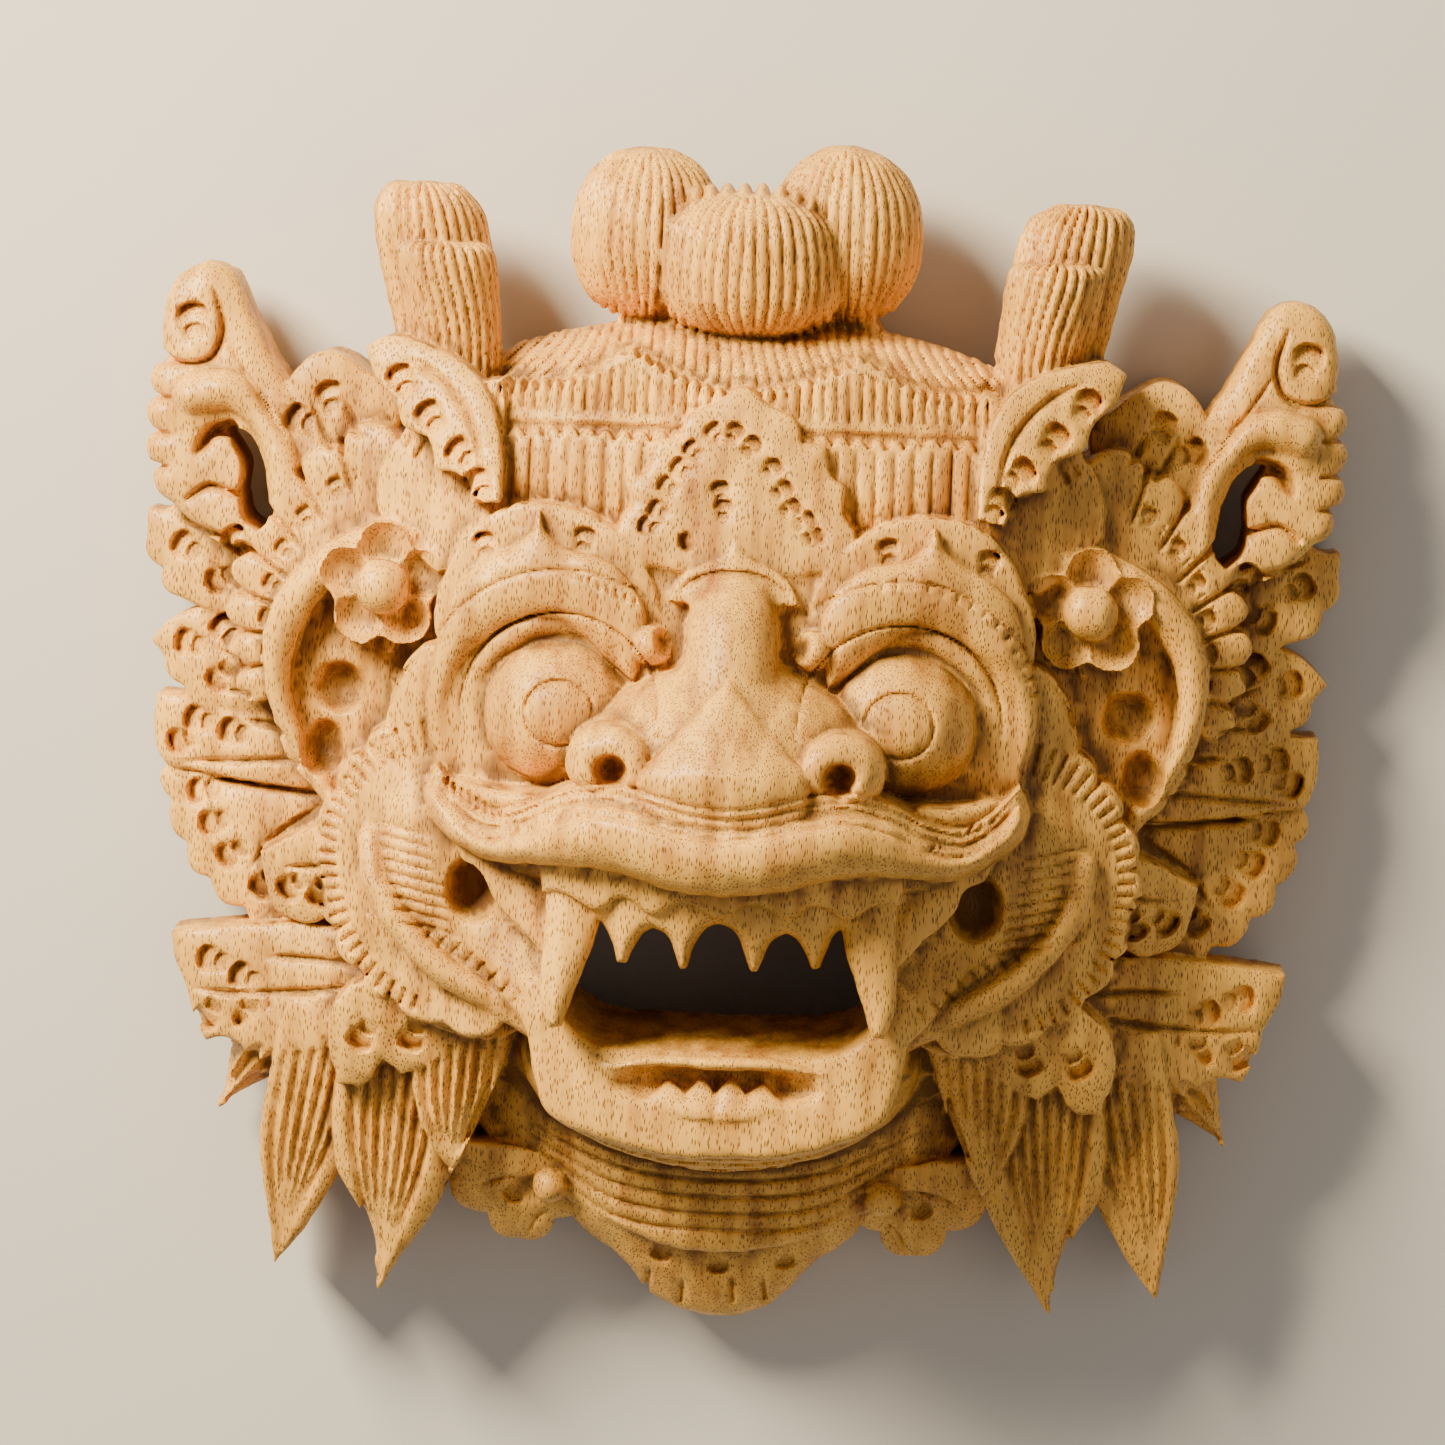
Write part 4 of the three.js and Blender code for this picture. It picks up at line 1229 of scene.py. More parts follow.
class Jaw:
    """The lower jaw, its lip, small teeth and bevelled chin."""

    FRONT = 60.0  # height of its front
    HALF = [
        (27, -34), (33, -38), (31.5, -46), (30.5, -53), (27.5, -59.5), (20, -63.2), (10, -65.3), (0, -66)
    ]

    def build(self, block: Block) -> None:
        """Adds the jaw and the chin.

        Args:
            block: The block to carve.
        """
        block.add(Ball((0, -52, 34), (34, 20, 25)))
        top = slope((0, -40, self.FRONT - 2.5), (0, -66, self.FRONT + 2))
        block.add(Layer(both(self.HALF), top, level(12), edge=2.0, pillow=0.8), blend=1.0)

    def cut(self, block: Block) -> None:
        """Cuts the hollow over the lower lip and leaves a row of small teeth.

        Args:
            block: The block to carve.
        """
        block.cut(Ball((0, -53.6, self.FRONT + 3), (19, 3.9, 7)))
        zigzag = [
            (0, -55.4), (2.6, -52.6), (5, -55.2), (8, -53), (10.6, -55.6), (13, -57), (6, -59), (0, -59.4)
        ]
        front = slope((0, -52, 58.6), (0, -58, 61.5))
        block.add(Layer(zigzag, front, level(46), edge=0.5, pillow=0.8, spread=2), blend=0.3)
        rim = [(0, -49.8, 61.4), (9, -49.6, 61), (17.8, -51.2, 60)]
        block.add(Roll(rim, 1.0, 1.8, ends=(1.0, 0.4)), blend=0.5)

    def carve(self, relief: Relief) -> None:
        """Cuts the fine lines on the bevel of the chin.

        Args:
            relief: The marks of the gouge.
        """
        relief.clear(both(self.HALF), Sides.RIGHT)
        for i in range(4):
            low = 1.7 * i
            path = crossing((26 + i, -62.4 - low), (14, -66.2 - low), (0, -67.6 - low))
            relief.line(path, 1.1, 0.7, sides=Sides.RIGHT, ends=(0.3, 0.3))


class Bib:
    """The carved bib under the chin, its middle plate and side rosettes."""

    HALF = [(0, -88.6), (10, -87), (20.5, -83), (29, -78.5), (41.5, -68), (46, -56), (42, -44)]
    PLATE = [(24, -78), (24.5, -84), (16, -91.5), (11, -98), (5, -101)]

    def build(self, block: Block) -> None:
        """Adds the bib.

        Args:
            block: The block to carve.
        """
        block.add(Layer(both(self.HALF), vault(26.0, 0.0045, 0.28, -84.0), level(0), edge=1.5))
        front, back = slope((0, -84, 22), (0, -101, 14)), slope((0, -80, 0), (0, -101, 3))
        block.add(Layer(both(self.PLATE), front, back, edge=1.4, pillow=1.6))
        edge = lobed([(46, -78), (39.6, -83.6), (34.4, -88.4), (28, -84.4), (24, -79)], 2.0)
        front, back = slope((36, -76, 25), (34, -90, 18)), slope((36, -70, 0), (34, -90, 4))
        block.add(Layer([*edge, (30, -72), (44, -70)], front, back, pillow=1.2, steps=2))
        block.cut(Ball((32.4, -80.4, 26), (4.6, 4.4, 3.2)))
        block.add(Ball((28.5, -77.5, 25.5), (3.2, 3.2, 3.4)), blend=0.3)

    def carve(self, relief: Relief) -> None:
        """Cuts the lines and marks of the bib.

        Args:
            relief: The marks of the gouge.
        """
        for i in range(4):
            low = 3.0 * i
            path = crossing((34 - 2 * i, -66 - low), (18, -73.4 - low), (0, -75.2 - low))
            relief.line(path, 1.5, 1.0, sides=Sides.RIGHT, ends=(0.4, 0.4))
        for x, y, turn in ((-9.2, -89.3, 250), (0.5, -91.3, 270), (11.8, -89.8, 290)):
            relief.crescent(x, y, turn, 4.2, 1.5, sides=Sides.RIGHT)
        for x, y in ((-11.3, -94.4), (-5.6, -96), (3, -95.5), (8.2, -94.9)):
            relief.line([(x, y + 2.2), (x * 1.05, y - 2.6)], 1.4, 1.1, sides=Sides.RIGHT, ends=(0.2, 1.0))
        relief.crescent(34.9, -79.5, 300, 4.4, 1.5)
        relief.line([(28, -81.5), (31, -84), (33, -88)], 1.2, 0.8)
        relief.line([(33, -76), (38, -77), (42, -79)], 1.2, 0.8)
        relief.line([(7, -76), (7.4, -82)], 0.4, 0.6, sides=Sides.RIGHT)


class Cheeks:
    """The cheeks: a scalloped fringe, the round cheek and the fold to the jaw."""

    RIM = [
        (37, -47.5), (46.5, -47), (55, -44), (61, -39.5), (65.5, -33), (68, -25.5), (68.5, -17.5),
        (66, -9.5), (61.5, -2.5), (56, 2), (49.5, 4.5),
    ]

    def build(self, block: Block) -> None:
        """Adds the cheeks.

        Args:
            block: The block to carve.
        """
        fringe = [*lobed(self.RIM, -1.7), (36, 4), (28, -20)]
        block.add(Layer(fringe, slope((50, -20, 46), (69, -20, 39)), level(8), edge=1.4, steps=2))
        block.add(Ball((43, -19, 38), (18.5, 22, 12)), blend=1.0)
        side = [(26, -20), (38, -18), (43, -30), (37, -40), (31, -46.5), (27, -42)]
        block.add(Layer(side, slope((42, -30, 49), (28, -42, 59)), level(20), edge=2.0), blend=1.6)
        fold = [
            (59.5, -17, 42), (58, -24.5, 45), (53, -31.5, 47), (46, -38, 48.5), (38, -42, 49),
            (31, -46, 49),
        ]
        block.add(Roll(fold, 2.5, 3.4), blend=0.8)
        seat = [(60, -30), (52, -46), (38, -50), (30, -46), (30, -30), (40, -26)]
        block.add(Layer(seat, level(44), level(8)))

    def cut(self, block: Block) -> None:
        """Cuts the pits at the corners of the mouth.

        Args:
            block: The block to carve.
        """
        block.cut(Ball((42, -24, 51), (4.6, 6, 9)), blend=1.0)

    def carve(self, relief: Relief) -> None:
        """Cuts the ribs of the fringe and the hair lines of the cheek.

        Args:
            relief: The marks of the gouge.
        """
        relief.clear([*self.RIM, (34, 2), (30, -30)])
        middle = (46.0, -21.0)

        def round_cheek(x: np.ndarray, y: np.ndarray) -> np.ndarray:
            return 21.0 * np.arctan2(y - middle[1], x - middle[0])

        inner = [
            (48, -1.6), (54.6, -3.8), (59.4, -6.6), (62.6, -10.6), (65.2, -17), (64.5, -25), (61, -33.5),
            (56, -39.5), (48, -43.4),
        ]
        outer = [
            (50, -46), (57, -43.4), (62.4, -38), (66.6, -31), (68.6, -24), (68.6, -16), (66, -9),
            (62, -2.6), (56.4, 2), (49.6, 4.6),
        ]
        relief.flutes([*outer, *inner], round_cheek, 2.1, 1.1, soft=0.6)
        for i in range(9):
            start = (60.5 - 0.5 * i, -13.5 - 2.0 * i)
            end = (48 - 0.6 * i, -15.5 - 2.1 * i)
            relief.line([start, end], 1.0, 0.7)
        for i in range(8):
            x, y = 50 - 2.2 * i, -33.2 - 1.3 * i
            relief.line([(x, y), (x - 2.4, y + 3.2)], 0.9, 0.7)


class Ears:
    """The ears, each a rolled rim round a sunken shell, and their flowers."""

    FLOWER = (59.2, 25.4, 41.0)
    PETALS = 5
    BAND = [
        (52, 35.6), (60, 35.6), (66, 33.6), (71.6, 29.6), (76.2, 24.6), (79.2, 18), (79.9, 10.6), (78.4, 4),
        (75, -2.4), (71.4, -8.6), (68.2, -13.2), (66, -10.4), (68.6, -6.4), (71, -3), (73.6, 2), (74.8, 8),
        (74, 14.6), (71, 20.8), (66, 26), (54, 28),
    ]

    def build(self, block: Block) -> None:
        """Adds the ears and the flowers.

        Args:
            block: The block to carve.
        """
        shell = [(50, 36), (62.5, 34.5), (72, 29), (78.5, 17.5), (78, 1), (71, -10), (62, -12), (50, 4)]
        block.add(Layer(shell, slope((55, 12, 34), (79, 12, 30)), level(4)))
        rim = slope((60, 34, 38.6), (70, -12, 34))
        block.add(Layer(self.BAND, rim, level(12), edge=1.6, pillow=1.6, spread=4))
        tab = [(59, -4), (58, 3), (57, 8), (52, 16), (47, 17), (46, -4)]
        block.add(Layer(tab, slope((47, 8, 47), (58, 4, 42)), level(20), pillow=1.0))
        x, y, z = self.FLOWER
        turns = [math.radians(54 + 18 * i) for i in range(4 * self.PETALS)]
        reach = (8.4, 10.2, 10.9, 10.2)
        corolla = [
            (x + reach[i % 4] * math.cos(t), y + reach[i % 4] * math.sin(t)) for i, t in enumerate(turns)
        ]
        block.add(Layer(corolla, level(z), level(20), edge=0.6), blend=0.2)
        for i in range(self.PETALS):
            turn = math.radians(90 + 72 * i)
            place = (x + 6.6 * math.cos(turn), y + 6.6 * math.sin(turn))
            block.cut(Ball((*place, z + 0.6), (4.4, 4.4, 3.6)), blend=0.1)
        block.add(Ball((x, y, z), (4.7, 4.7, 4.4)), blend=0.1)

    def cut(self, block: Block) -> None:
        """Cuts the hollows inside the ears.

        Args:
            block: The block to carve.
        """
        block.cut(Ball((66.9, 7.2, 34.6), (5.2, 4.9, 6.4)))
        block.cut(Ball((69.2, -2.6, 34), (3.7, 5.0, 6.0)))
        block.cut(Ball((61.5, 12.5, 36), (3.8, 6.4, 3.2)))

    def carve(self, relief: Relief) -> None:
        """Cuts the lines beside the rim of the ear.

        Args:
            relief: The marks of the gouge.
        """
        relief.clear(self.BAND)
        relief.clear_round(self.FLOWER[:2], (10.6, 10.6))
        relief.line([(75.6, -6), (78, 0), (79.4, 8), (79, 16)], 0.9, 0.6)
        relief.line([(57.8, 4), (55, 11), (51, 15.6)], 1.0, 0.7)


class Fans:
    """The fan of round lobes behind each ear."""

    CENTRE, LOBES = (58.0, 14.0), 8
    START, SWEEP = -0.42, 1.95  # first direction and the turn to the last, in radians
    NEAR, GROWTH, POWER = 25.5, 12.0, 1.6  # reach of the first lobe, and how the others grow

    def _spoke(self, share: float) -> tuple[float, float, float, float]:
        """Returns a place on the rim of the fan and its direction.

        Args:
            share: Share of the way round the fan.
        """
        turn = self.START + share * self.SWEEP
        reach = self.NEAR + self.GROWTH * share**self.POWER
        x = self.CENTRE[0] + reach * math.cos(turn)
        y = self.CENTRE[1] + reach * math.sin(turn)
        return x, y, math.cos(turn), math.sin(turn)

    def build(self, block: Block) -> None:
        """Adds the fans.

        Args:
            block: The block to carve.
        """
        rim = [self._spoke(i / self.LOBES)[:2] for i in range(self.LOBES + 1)]
        top = slope((62, 14, 33.5), (86, 18, 27))
        fan = [*lobed(rim, -2.4), (50, 40), self.CENTRE]
        block.add(Layer(fan, top, level(3), edge=0.9, pillow=0.8, steps=2))

    def carve(self, relief: Relief) -> None:
        """Cuts the notches between and on the lobes.

        Args:
            relief: The marks of the gouge.
        """
        rim = [self._spoke(i / self.LOBES)[:2] for i in range(self.LOBES + 1)]
        relief.clear([*rim, (50, 40), self.CENTRE])
        for i in range(1, self.LOBES):
            x, y, ux, uy = self._spoke(i / self.LOBES)
            relief.line([(x - 9 * ux, y - 9 * uy), (x + 0.6 * ux, y + 0.6 * uy)], 1.6, 1.6, ends=(0.0, 1.0))
            facing = math.degrees(math.atan2(uy, ux))
            relief.thumb(x - 6 * ux + 2.4 * uy, y - 6 * uy - 2.4 * ux, facing, 3.4, 1.6)
            for shift in (-1.4, 1.4):
                start = (x - 6.5 * ux - shift * uy, y - 6.5 * uy + shift * ux)
                relief.line([start, (start[0] + 3.0 * ux, start[1] + 3.0 * uy)], 0.8, 0.7)


class Curls:
    """The open curls at the upper corners."""

    def build(self, block: Block) -> None:
        """Adds the curls.

        Args:
            block: The block to carve.
        """
        flame = [
            (72, 30), (80, 28), (92, 32),
            *lobed([(97, 37), (100, 43), (100.8, 49), (100.8, 55), (99.8, 61)], -1.6), (100, 66),
            (99.5, 72), (97.5, 75.5), (93, 77.8), (88, 76), (85.5, 71), (82.5, 65), (78.5, 58.5), (72, 54),
            (64, 44),
        ]
        top = slope((72, 36, 26), (93, 76, 18))
        block.add(Layer(flame, top, slope((72, 36, 2), (93, 76, 8)), edge=2.0, pillow=1.4, steps=2))
        opening = [
            (88.6, 49.6), (85, 49.7), (82.4, 46.8), (80.6, 42), (80, 35), (82, 32.6), (84.8, 35),
            (85.6, 39), (85.4, 44), (87.4, 47.6),
        ]
        block.cut(Layer(opening, level(95), level(-9)))
        band = [(94, 55, 20.5), (88, 56.4, 22), (81.6, 51.6, 23), (77.8, 44, 24.5), (77.4, 35, 26)]
        block.add(Roll(band, 2.9, 4.2, ends=(1.4, 0.9)), blend=0.4)
        block.add(Ball((93.6, 52.4, 18.6), (6.4, 6.6, 5.6)), blend=0.4)
        hook = [(96.6, 47, 18.6), (95, 40.4, 18.6), (90.6, 38.6, 19), (87.6, 41.6, 19)]
        block.add(Roll(hook, 2.6, 4.6), blend=0.3)
        block.add(Ball((89.6, 44.4, 19.4), (3.7, 3.9, 5.4)), blend=0.2)

    def carve(self, relief: Relief) -> None:
        """Cuts the marks of the curls.

        Args:
            relief: The marks of the gouge.
        """
        relief.thumb(94.8, 68.4, 80, 6.0, 2.6)
        notch = [(101, 62.4), (96.4, 60.4), (91.4, 61.4), (89.4, 66), (91.2, 73)]
        relief.line(notch, 1.8, 2.4, ends=(1.0, 0.3))
        relief.line([(87.6, 50), (90.6, 49), (92.8, 45.8)], 3.4, 5.0, ends=(1.0, 0.5))
        relief.line([(94.4, 37.6), (90.6, 40), (86, 38.8)], 1.8, 2.0, ends=(0.6, 1.0))
        for i in range(4):
            hair = [
                (90 - 1.5 * i, 67 - 2.4 * i), (85.4 - 1.4 * i, 59.6 - 2.2 * i), (79.6 - 1.2 * i, 53 - 2.0 * i)
            ]
            relief.line(hair, 1.1, 0.9)
        for y in (40.2, 45.8, 51.8, 57.8):
            relief.line([(100.6, y + 2.8), (97.0, y + 2.6)], 1.4, 1.3, ends=(1.0, 0.0))


@dataclass
class Leaf:
    """A leaf of the rim or the beard, with its own marks of the gouge.

    Attributes:
        points: Its drawn outline.
        root: X, Y and height where it leaves the head.
        tip: X, Y and height of its tip.
        thick: Its thickness.
        veins: Lines cut along it.
        thumbs: X, Y and facing of its nested thumbnail marks.
        comb: First root, last root, tip and number of the lines that fill it.
        pillow: How far its middle swells.
        edge: Width of its rounded front edge.
    """

    points: list[Place]
    root: Place
    tip: Place
    thick: float
    veins: tuple[tuple[Place, ...], ...] = ()
    thumbs: tuple[Place, ...] = ()
    comb: tuple[Place, Place, Place, int] | None = None
    pillow: float = 0.8
    edge: float = 0.8

    def form(self) -> Layer:
        """Returns the leaf as a layer of wood."""
        top = slope(self.root, self.tip)

        def under(x: np.ndarray, y: np.ndarray) -> np.ndarray:
            return np.maximum(top(x, y) - self.thick, 1.0)

        return Layer(self.points, top, under, self.edge, self.pillow)

    def carve(self, relief: Relief) -> None:
        """Cuts the leaf's own marks.

        Args:
            relief: The marks of the gouge.
        """
        relief.clear(self.points)
        if self.comb is not None:
            first, last, tip, count = self.comb
            pitch = math.hypot(last[0] - first[0], last[1] - first[1]) / max(count - 1, 1)
            relief.comb(first, last, tip, count, 1.05 * pitch, 0.55 * pitch, 1.4)
        for vein in self.veins:
            relief.line(list(vein), 1.9, 1.4, ends=(0.6, 0.0))
        for x, y, turn in self.thumbs:
            relief.thumb(x, y, turn, 5.2, 2.6)


@dataclass
class Foliage:
    """Leaves of the rim and the beard, the foremost last.

    Attributes:
        leaves: The leaves.
    """

    leaves: list[Leaf] = field(
        default_factory=lambda: [
            Leaf(
                [
                    (60, 42), (72, 40), (77, 47), (77.8, 58), (75.5, 61.5), (71.5, 63.7), (67.5, 62.5),
                    (64, 60), (58, 56),
                ],
                (60, 44, 24), (72, 62, 22.5), 20,
                (((60, 44), (66, 51), (70, 58)), ((66, 44), (71, 49), (74, 56))),
                ((70.8, 56.4, 70), (76, 52, 20)),
            ),
            Leaf(
                [
                    (74, 26), (80, 33), *lobed([(84, 35.2), (90, 36.6), (96.4, 36.8), (102, 35.4)], -0.9),
                    *lobed([(102.2, 30), (99.4, 25), (96.4, 20.4)], 1.2), (88, 17), (76, 14),
                ],
                (76, 22, 21), (102, 34, 15), 12,
                (((76, 20), (86, 23.4), (92, 27.6)), ((80, 29), (88, 31.6), (97, 34))),
                ((95.6, 29.4, 30), (89.4, 23.4, -30), (86, 31.4, 60)),
            ),
            Leaf(
                [
                    (72, 18), (84, 17.8), (88, 19.2), (93, 18.6), (97.5, 16.2), (100.9, 12.6),
                    *lobed([(98.4, 9.4), (95, 5), (90.4, 1.6)], 1.2), (72, 1),
                ],
                (74, 9, 22), (100, 13, 16), 12,
                (((74, 10), (84, 10.6), (90, 12)), ((76, 5), (84, 5), (90, 4.4))),
                ((94.6, 12.6, 10), (88.2, 15.6, 50), (88.6, 6.6, -50)),
            ),
            Leaf(
                [
                    (70, 3), (86, 1.8), (90, 3.4), (95, 3.4), (99.8, 3.6), (99.8, -2.6), (97.8, -8.4),
                    (92, -9.5), (80, -11), (66, -13),
                ],
                (72, -5, 23), (99, 0, 16), 13,
                (((72, -6), (84, -7.2), (96, -8)), ((74, -1), (80, -0.6), (84, 0))),
                ((92.6, -0.6, 10), (86.4, -2.2, 10), (95.4, -4.6, -20)),
            ),
            Leaf(
                [
                    (66, -10), (88, -10),
                    *lobed(
                        [(97.5, -8.5), (96.5, -15), (93.5, -22), (89.5, -28), (83, -32.5), (76, -35.5)],
                        1.8,
                    ),
                    (62, -36),
                ],
                (68, -20, 23), (97, -12, 16), 12,
                (
                    ((66, -12), (80, -11.6), (93, -10.6)), ((70, -14), (78, -20), (83, -27)),
                    ((72, -20), (76, -26), (78, -32)),
                ),
                ((91.6, -13, -10), (89.4, -18.4, -20), (86, -23.6, -35), (80, -28.6, -50)),
            ),
            Leaf(
                [
                    (58, -34), (70, -33.6), (78, -34.2), (86, -35.2), (95.6, -36.8), (94.6, -41.5),
                    (92.4, -46), (91.4, -50.4), (88.8, -55.4), (84.5, -54.4), (81.6, -56.8), (78, -58.6),
                    (74, -57.6), (70, -58), (66.5, -55.5), (56, -50),
                ],
                (60, -42, 32), (95, -38, 22), 14,
                (
                    ((62, -40), (72, -39.6), (79, -40)),
                    ((64, -44), (73, -45.4), (85.6, -46.6), (93, -46.2)),
                    ((77.6, -47), (77.4, -52), (78, -58.4)), ((62, -48), (68, -51)),
                ),
                ((88.4, -41, 10), (82.6, -43.4, 20), (88.4, -51, -60), (81.4, -50.6, -80), (73.6, -53, -80)),
            ),
            Leaf(
                [(84, -54), (86.8, -67.6), (77, -62), (66, -58), (66, -48), (76, -48)], (70, -52, 26),
                (87, -67, 19), 13, comb=((71, -55), (83, -56), (86, -66.5), 4),
            ),
            Leaf(
                [
                    (77.5, -60), (78.7, -70), (78, -79), (76.8, -87), (76, -94), (71.5, -88), (68, -82.5),
                    (65, -77), (58, -64), (60, -46), (74, -46),
                ],
                (66, -52, 30), (76, -93, 23), 17, comb=((62, -54), (74.4, -56), (75.4, -93), 6), pillow=1.6,
            ),
            Leaf(
                [
                    (65.5, -60), (65, -76), (61.4, -82), (59, -89), (57.6, -97), (52, -88), (47, -80),
                    (44, -66), (46, -46), (60, -46),
                ],
                (56, -50, 34), (57, -96, 25.5), 18, comb=((48, -58), (62.6, -56), (57.4, -96), 7),
                pillow=1.8,
            ),
            Leaf(
                [(50.5, -66), (45.2, -75.4), (41.4, -67.5), (37.5, -57.5), (34, -46), (50, -44), (52, -57)],
                (42, -46, 41.5), (45, -75, 33.5), 24, comb=((38, -50), (50, -53), (45.4, -75), 6),
                pillow=1.4,
            ),
            Leaf(
                [(80, -21.5), (71, -17), (63, -14), (58, -30), (66, -31), (70, -33.5), (77, -31.5)],
                (63, -22, 37), (78, -30, 27.5), 16, (((63, -20), (69, -23), (76, -24)),),
                ((74.4, -27.6, -40), (69, -28.4, -70)),
            ),
            Leaf(
                [
                    (50, -40), (62, -42), (65.5, -46), (66.6, -52), (64.6, -59.7), (60.4, -60), (57, -55),
                    (53.5, -57.6), (48, -54.6), (45.5, -51.5), (42, -44),
                ],
                (52, -42, 42.5), (60, -60, 37), 20, (), ((60.6, -51.4, -60), (52, -51, -70)),
            ),
            Leaf(
                [
                    (63.4, 65), (60.5, 66.8), (54, 66), (46.5, 63), (41.5, 57), (39.6, 49), (39.5, 41),
                    (44, 40), (46.4, 44.8), (50.6, 45.6), (52, 50.6), (56.6, 52.4), (58.4, 57), (61.6, 60),
                ],
                (44, 42, 50), (61, 64, 38), 18, (((42.6, 44), (44.6, 53), (50, 60), (58, 64.4)),),
                ((57.4, 60.4, 60), (52.2, 54.6, 50), (46.8, 48.8, 40), (43.4, 44.0, 60)),
            ),
        ]
    )

    def build(self, block: Block) -> None:
        """Adds the leaves.

        Args:
            block: The block to carve.
        """
        for leaf in self.leaves:
            block.add(leaf.form(), blend=0.3)

    def carve(self, relief: Relief) -> None:
        """Cuts the marks of the leaves, those behind first.

        Args:
            relief: The marks of the gouge.
        """
        for leaf in self.leaves:
            leaf.carve(relief)


def carved(pitch: float) -> tuple[Block, np.ndarray]:
    """Carves the whole mask.

    Args:
        pitch: Distance between two samples, in millimetres.

    Returns:
        The carved block, and the height of its front over X and Y.
    """
    block = Block(pitch)
    head, crown, forehead, eyes, nose, cheeks = Head(), Crown(), Forehead(), Eyes(), Nose(), Cheeks()
    mouth, bib, jaw, ears, fans, foliage, curls = Mouth(), Bib(), Jaw(), Ears(), Fans(), Foliage(), Curls()
    behind, face = (head, fans, foliage, curls, ears), (crown, forehead, eyes, nose, cheeks, mouth, bib, jaw)
    for region in (*behind, *face):
        region.build(block)
        log.info("built %s", type(region).__name__)
    head.hollow(block)
    mouth.open(block)
    mouth.set_teeth(block)
    for region in (jaw, cheeks, ears, nose):
        region.cut(block)
    block.unfold()
    crown.stand(block)
    relief = Relief(block.axes[0], block.axes[1])
    for region in (bib, curls, crown, forehead, foliage, fans, ears, eyes, nose, cheeks, mouth, jaw):
        region.carve(relief)
    relief.press(block)
    return block, block.front()


class Mesher:
    """Turns the carved block into a mesh of a stated number of triangles."""

    LIMIT = 196_000
    SMOOTH = 50.0  # degrees between two facets from which their edge shows

    def build(self, block: Block, name: str) -> bpy.types.Object:
        """Makes the mesh object.

        Args:
            block: The carved block.
            name: Name of the object.

        Returns:
            The object, linked to the scene.
        """
        volume = openvdb.FloatGrid(background=FAR)
        volume.copyFromArray(np.clip(block.wood, -FAR, FAR), tolerance=0.0)
        points, triangles, quads = volume.convertToPolygons(isovalue=0.0, adaptivity=0.0)
        start = np.array([axis[0] for axis in block.axes])
        points = (points * block.pitch + start) * MM
        mesh = bpy.data.meshes.new(name)
        mesh.vertices.add(len(points))
        mesh.vertices.foreach_set("co", points.astype(np.float32).ravel())
        mesh.loops.add(4 * len(quads))
        mesh.loops.foreach_set("vertex_index", quads[:, ::-1].astype(np.int32).ravel())
        mesh.polygons.add(len(quads))
        mesh.polygons.foreach_set("loop_start", np.arange(0, 4 * len(quads), 4, dtype=np.int32))
        mesh.update(calc_edges=True)
        mesh.validate()
        piece = bpy.data.objects.new(name, mesh)
        bpy.context.collection.objects.link(piece)
        self._keep_largest(piece)
        self._thin(piece)
        return piece

    def _select(self, piece: bpy.types.Object) -> None:
        """Makes a piece the only selected and active object.

        Args:
            piece: The piece.
        """
        bpy.ops.object.select_all(action="DESELECT")
        piece.select_set(True)
        bpy.context.view_layer.objects.active = piece

    def _keep_largest(self, piece: bpy.types.Object) -> None:
        """Drops crumbs and shut bubbles left inside the wood.

        Args:
            piece: The piece.
        """
        mesh = piece.data
        count = len(mesh.vertices)
        ends = np.empty(2 * len(mesh.edges), dtype=np.int32)
        mesh.edges.foreach_get("vertices", ends)
        ends = ends.reshape(-1, 2)
        label = np.arange(count)
        while True:
            low = np.minimum(label[ends[:, 0]], label[ends[:, 1]])
            before = label.copy()
            np.minimum.at(label, ends[:, 0], low)
            np.minimum.at(label, ends[:, 1], low)
            label = label[label]
            label = label[label]
            if np.array_equal(before, label):
                break
        sizes = np.bincount(label, minlength=count)
        loose = label != sizes.argmax()
        log.info("%d loose points dropped", int(loose.sum()))
        if not loose.any():
            return
        self._select(piece)
        bpy.ops.object.mode_set(mode="EDIT")
        bpy.ops.mesh.select_all(action="DESELECT")
        bpy.ops.object.mode_set(mode="OBJECT")
        mesh.vertices.foreach_set("select", loose)
        bpy.ops.object.mode_set(mode="EDIT")
        bpy.ops.mesh.delete(type="VERT")
        bpy.ops.object.mode_set(mode="OBJECT")

    def _thin(self, piece: bpy.types.Object) -> None:
        """Merges facets where the surface is calm.

        Args:
            piece: The piece.
        """
        self._select(piece)
        triangles = 2 * len(piece.data.polygons)
        if triangles > self.LIMIT:
            thinner = piece.modifiers.new("thinner", "DECIMATE")
            thinner.ratio = self.LIMIT / triangles
            bpy.ops.object.modifier_apply(modifier=thinner.name)
        bpy.ops.object.shade_smooth_by_angle(angle=math.radians(self.SMOOTH))
        log.info("%s has %d faces", piece.name, len(piece.data.polygons))


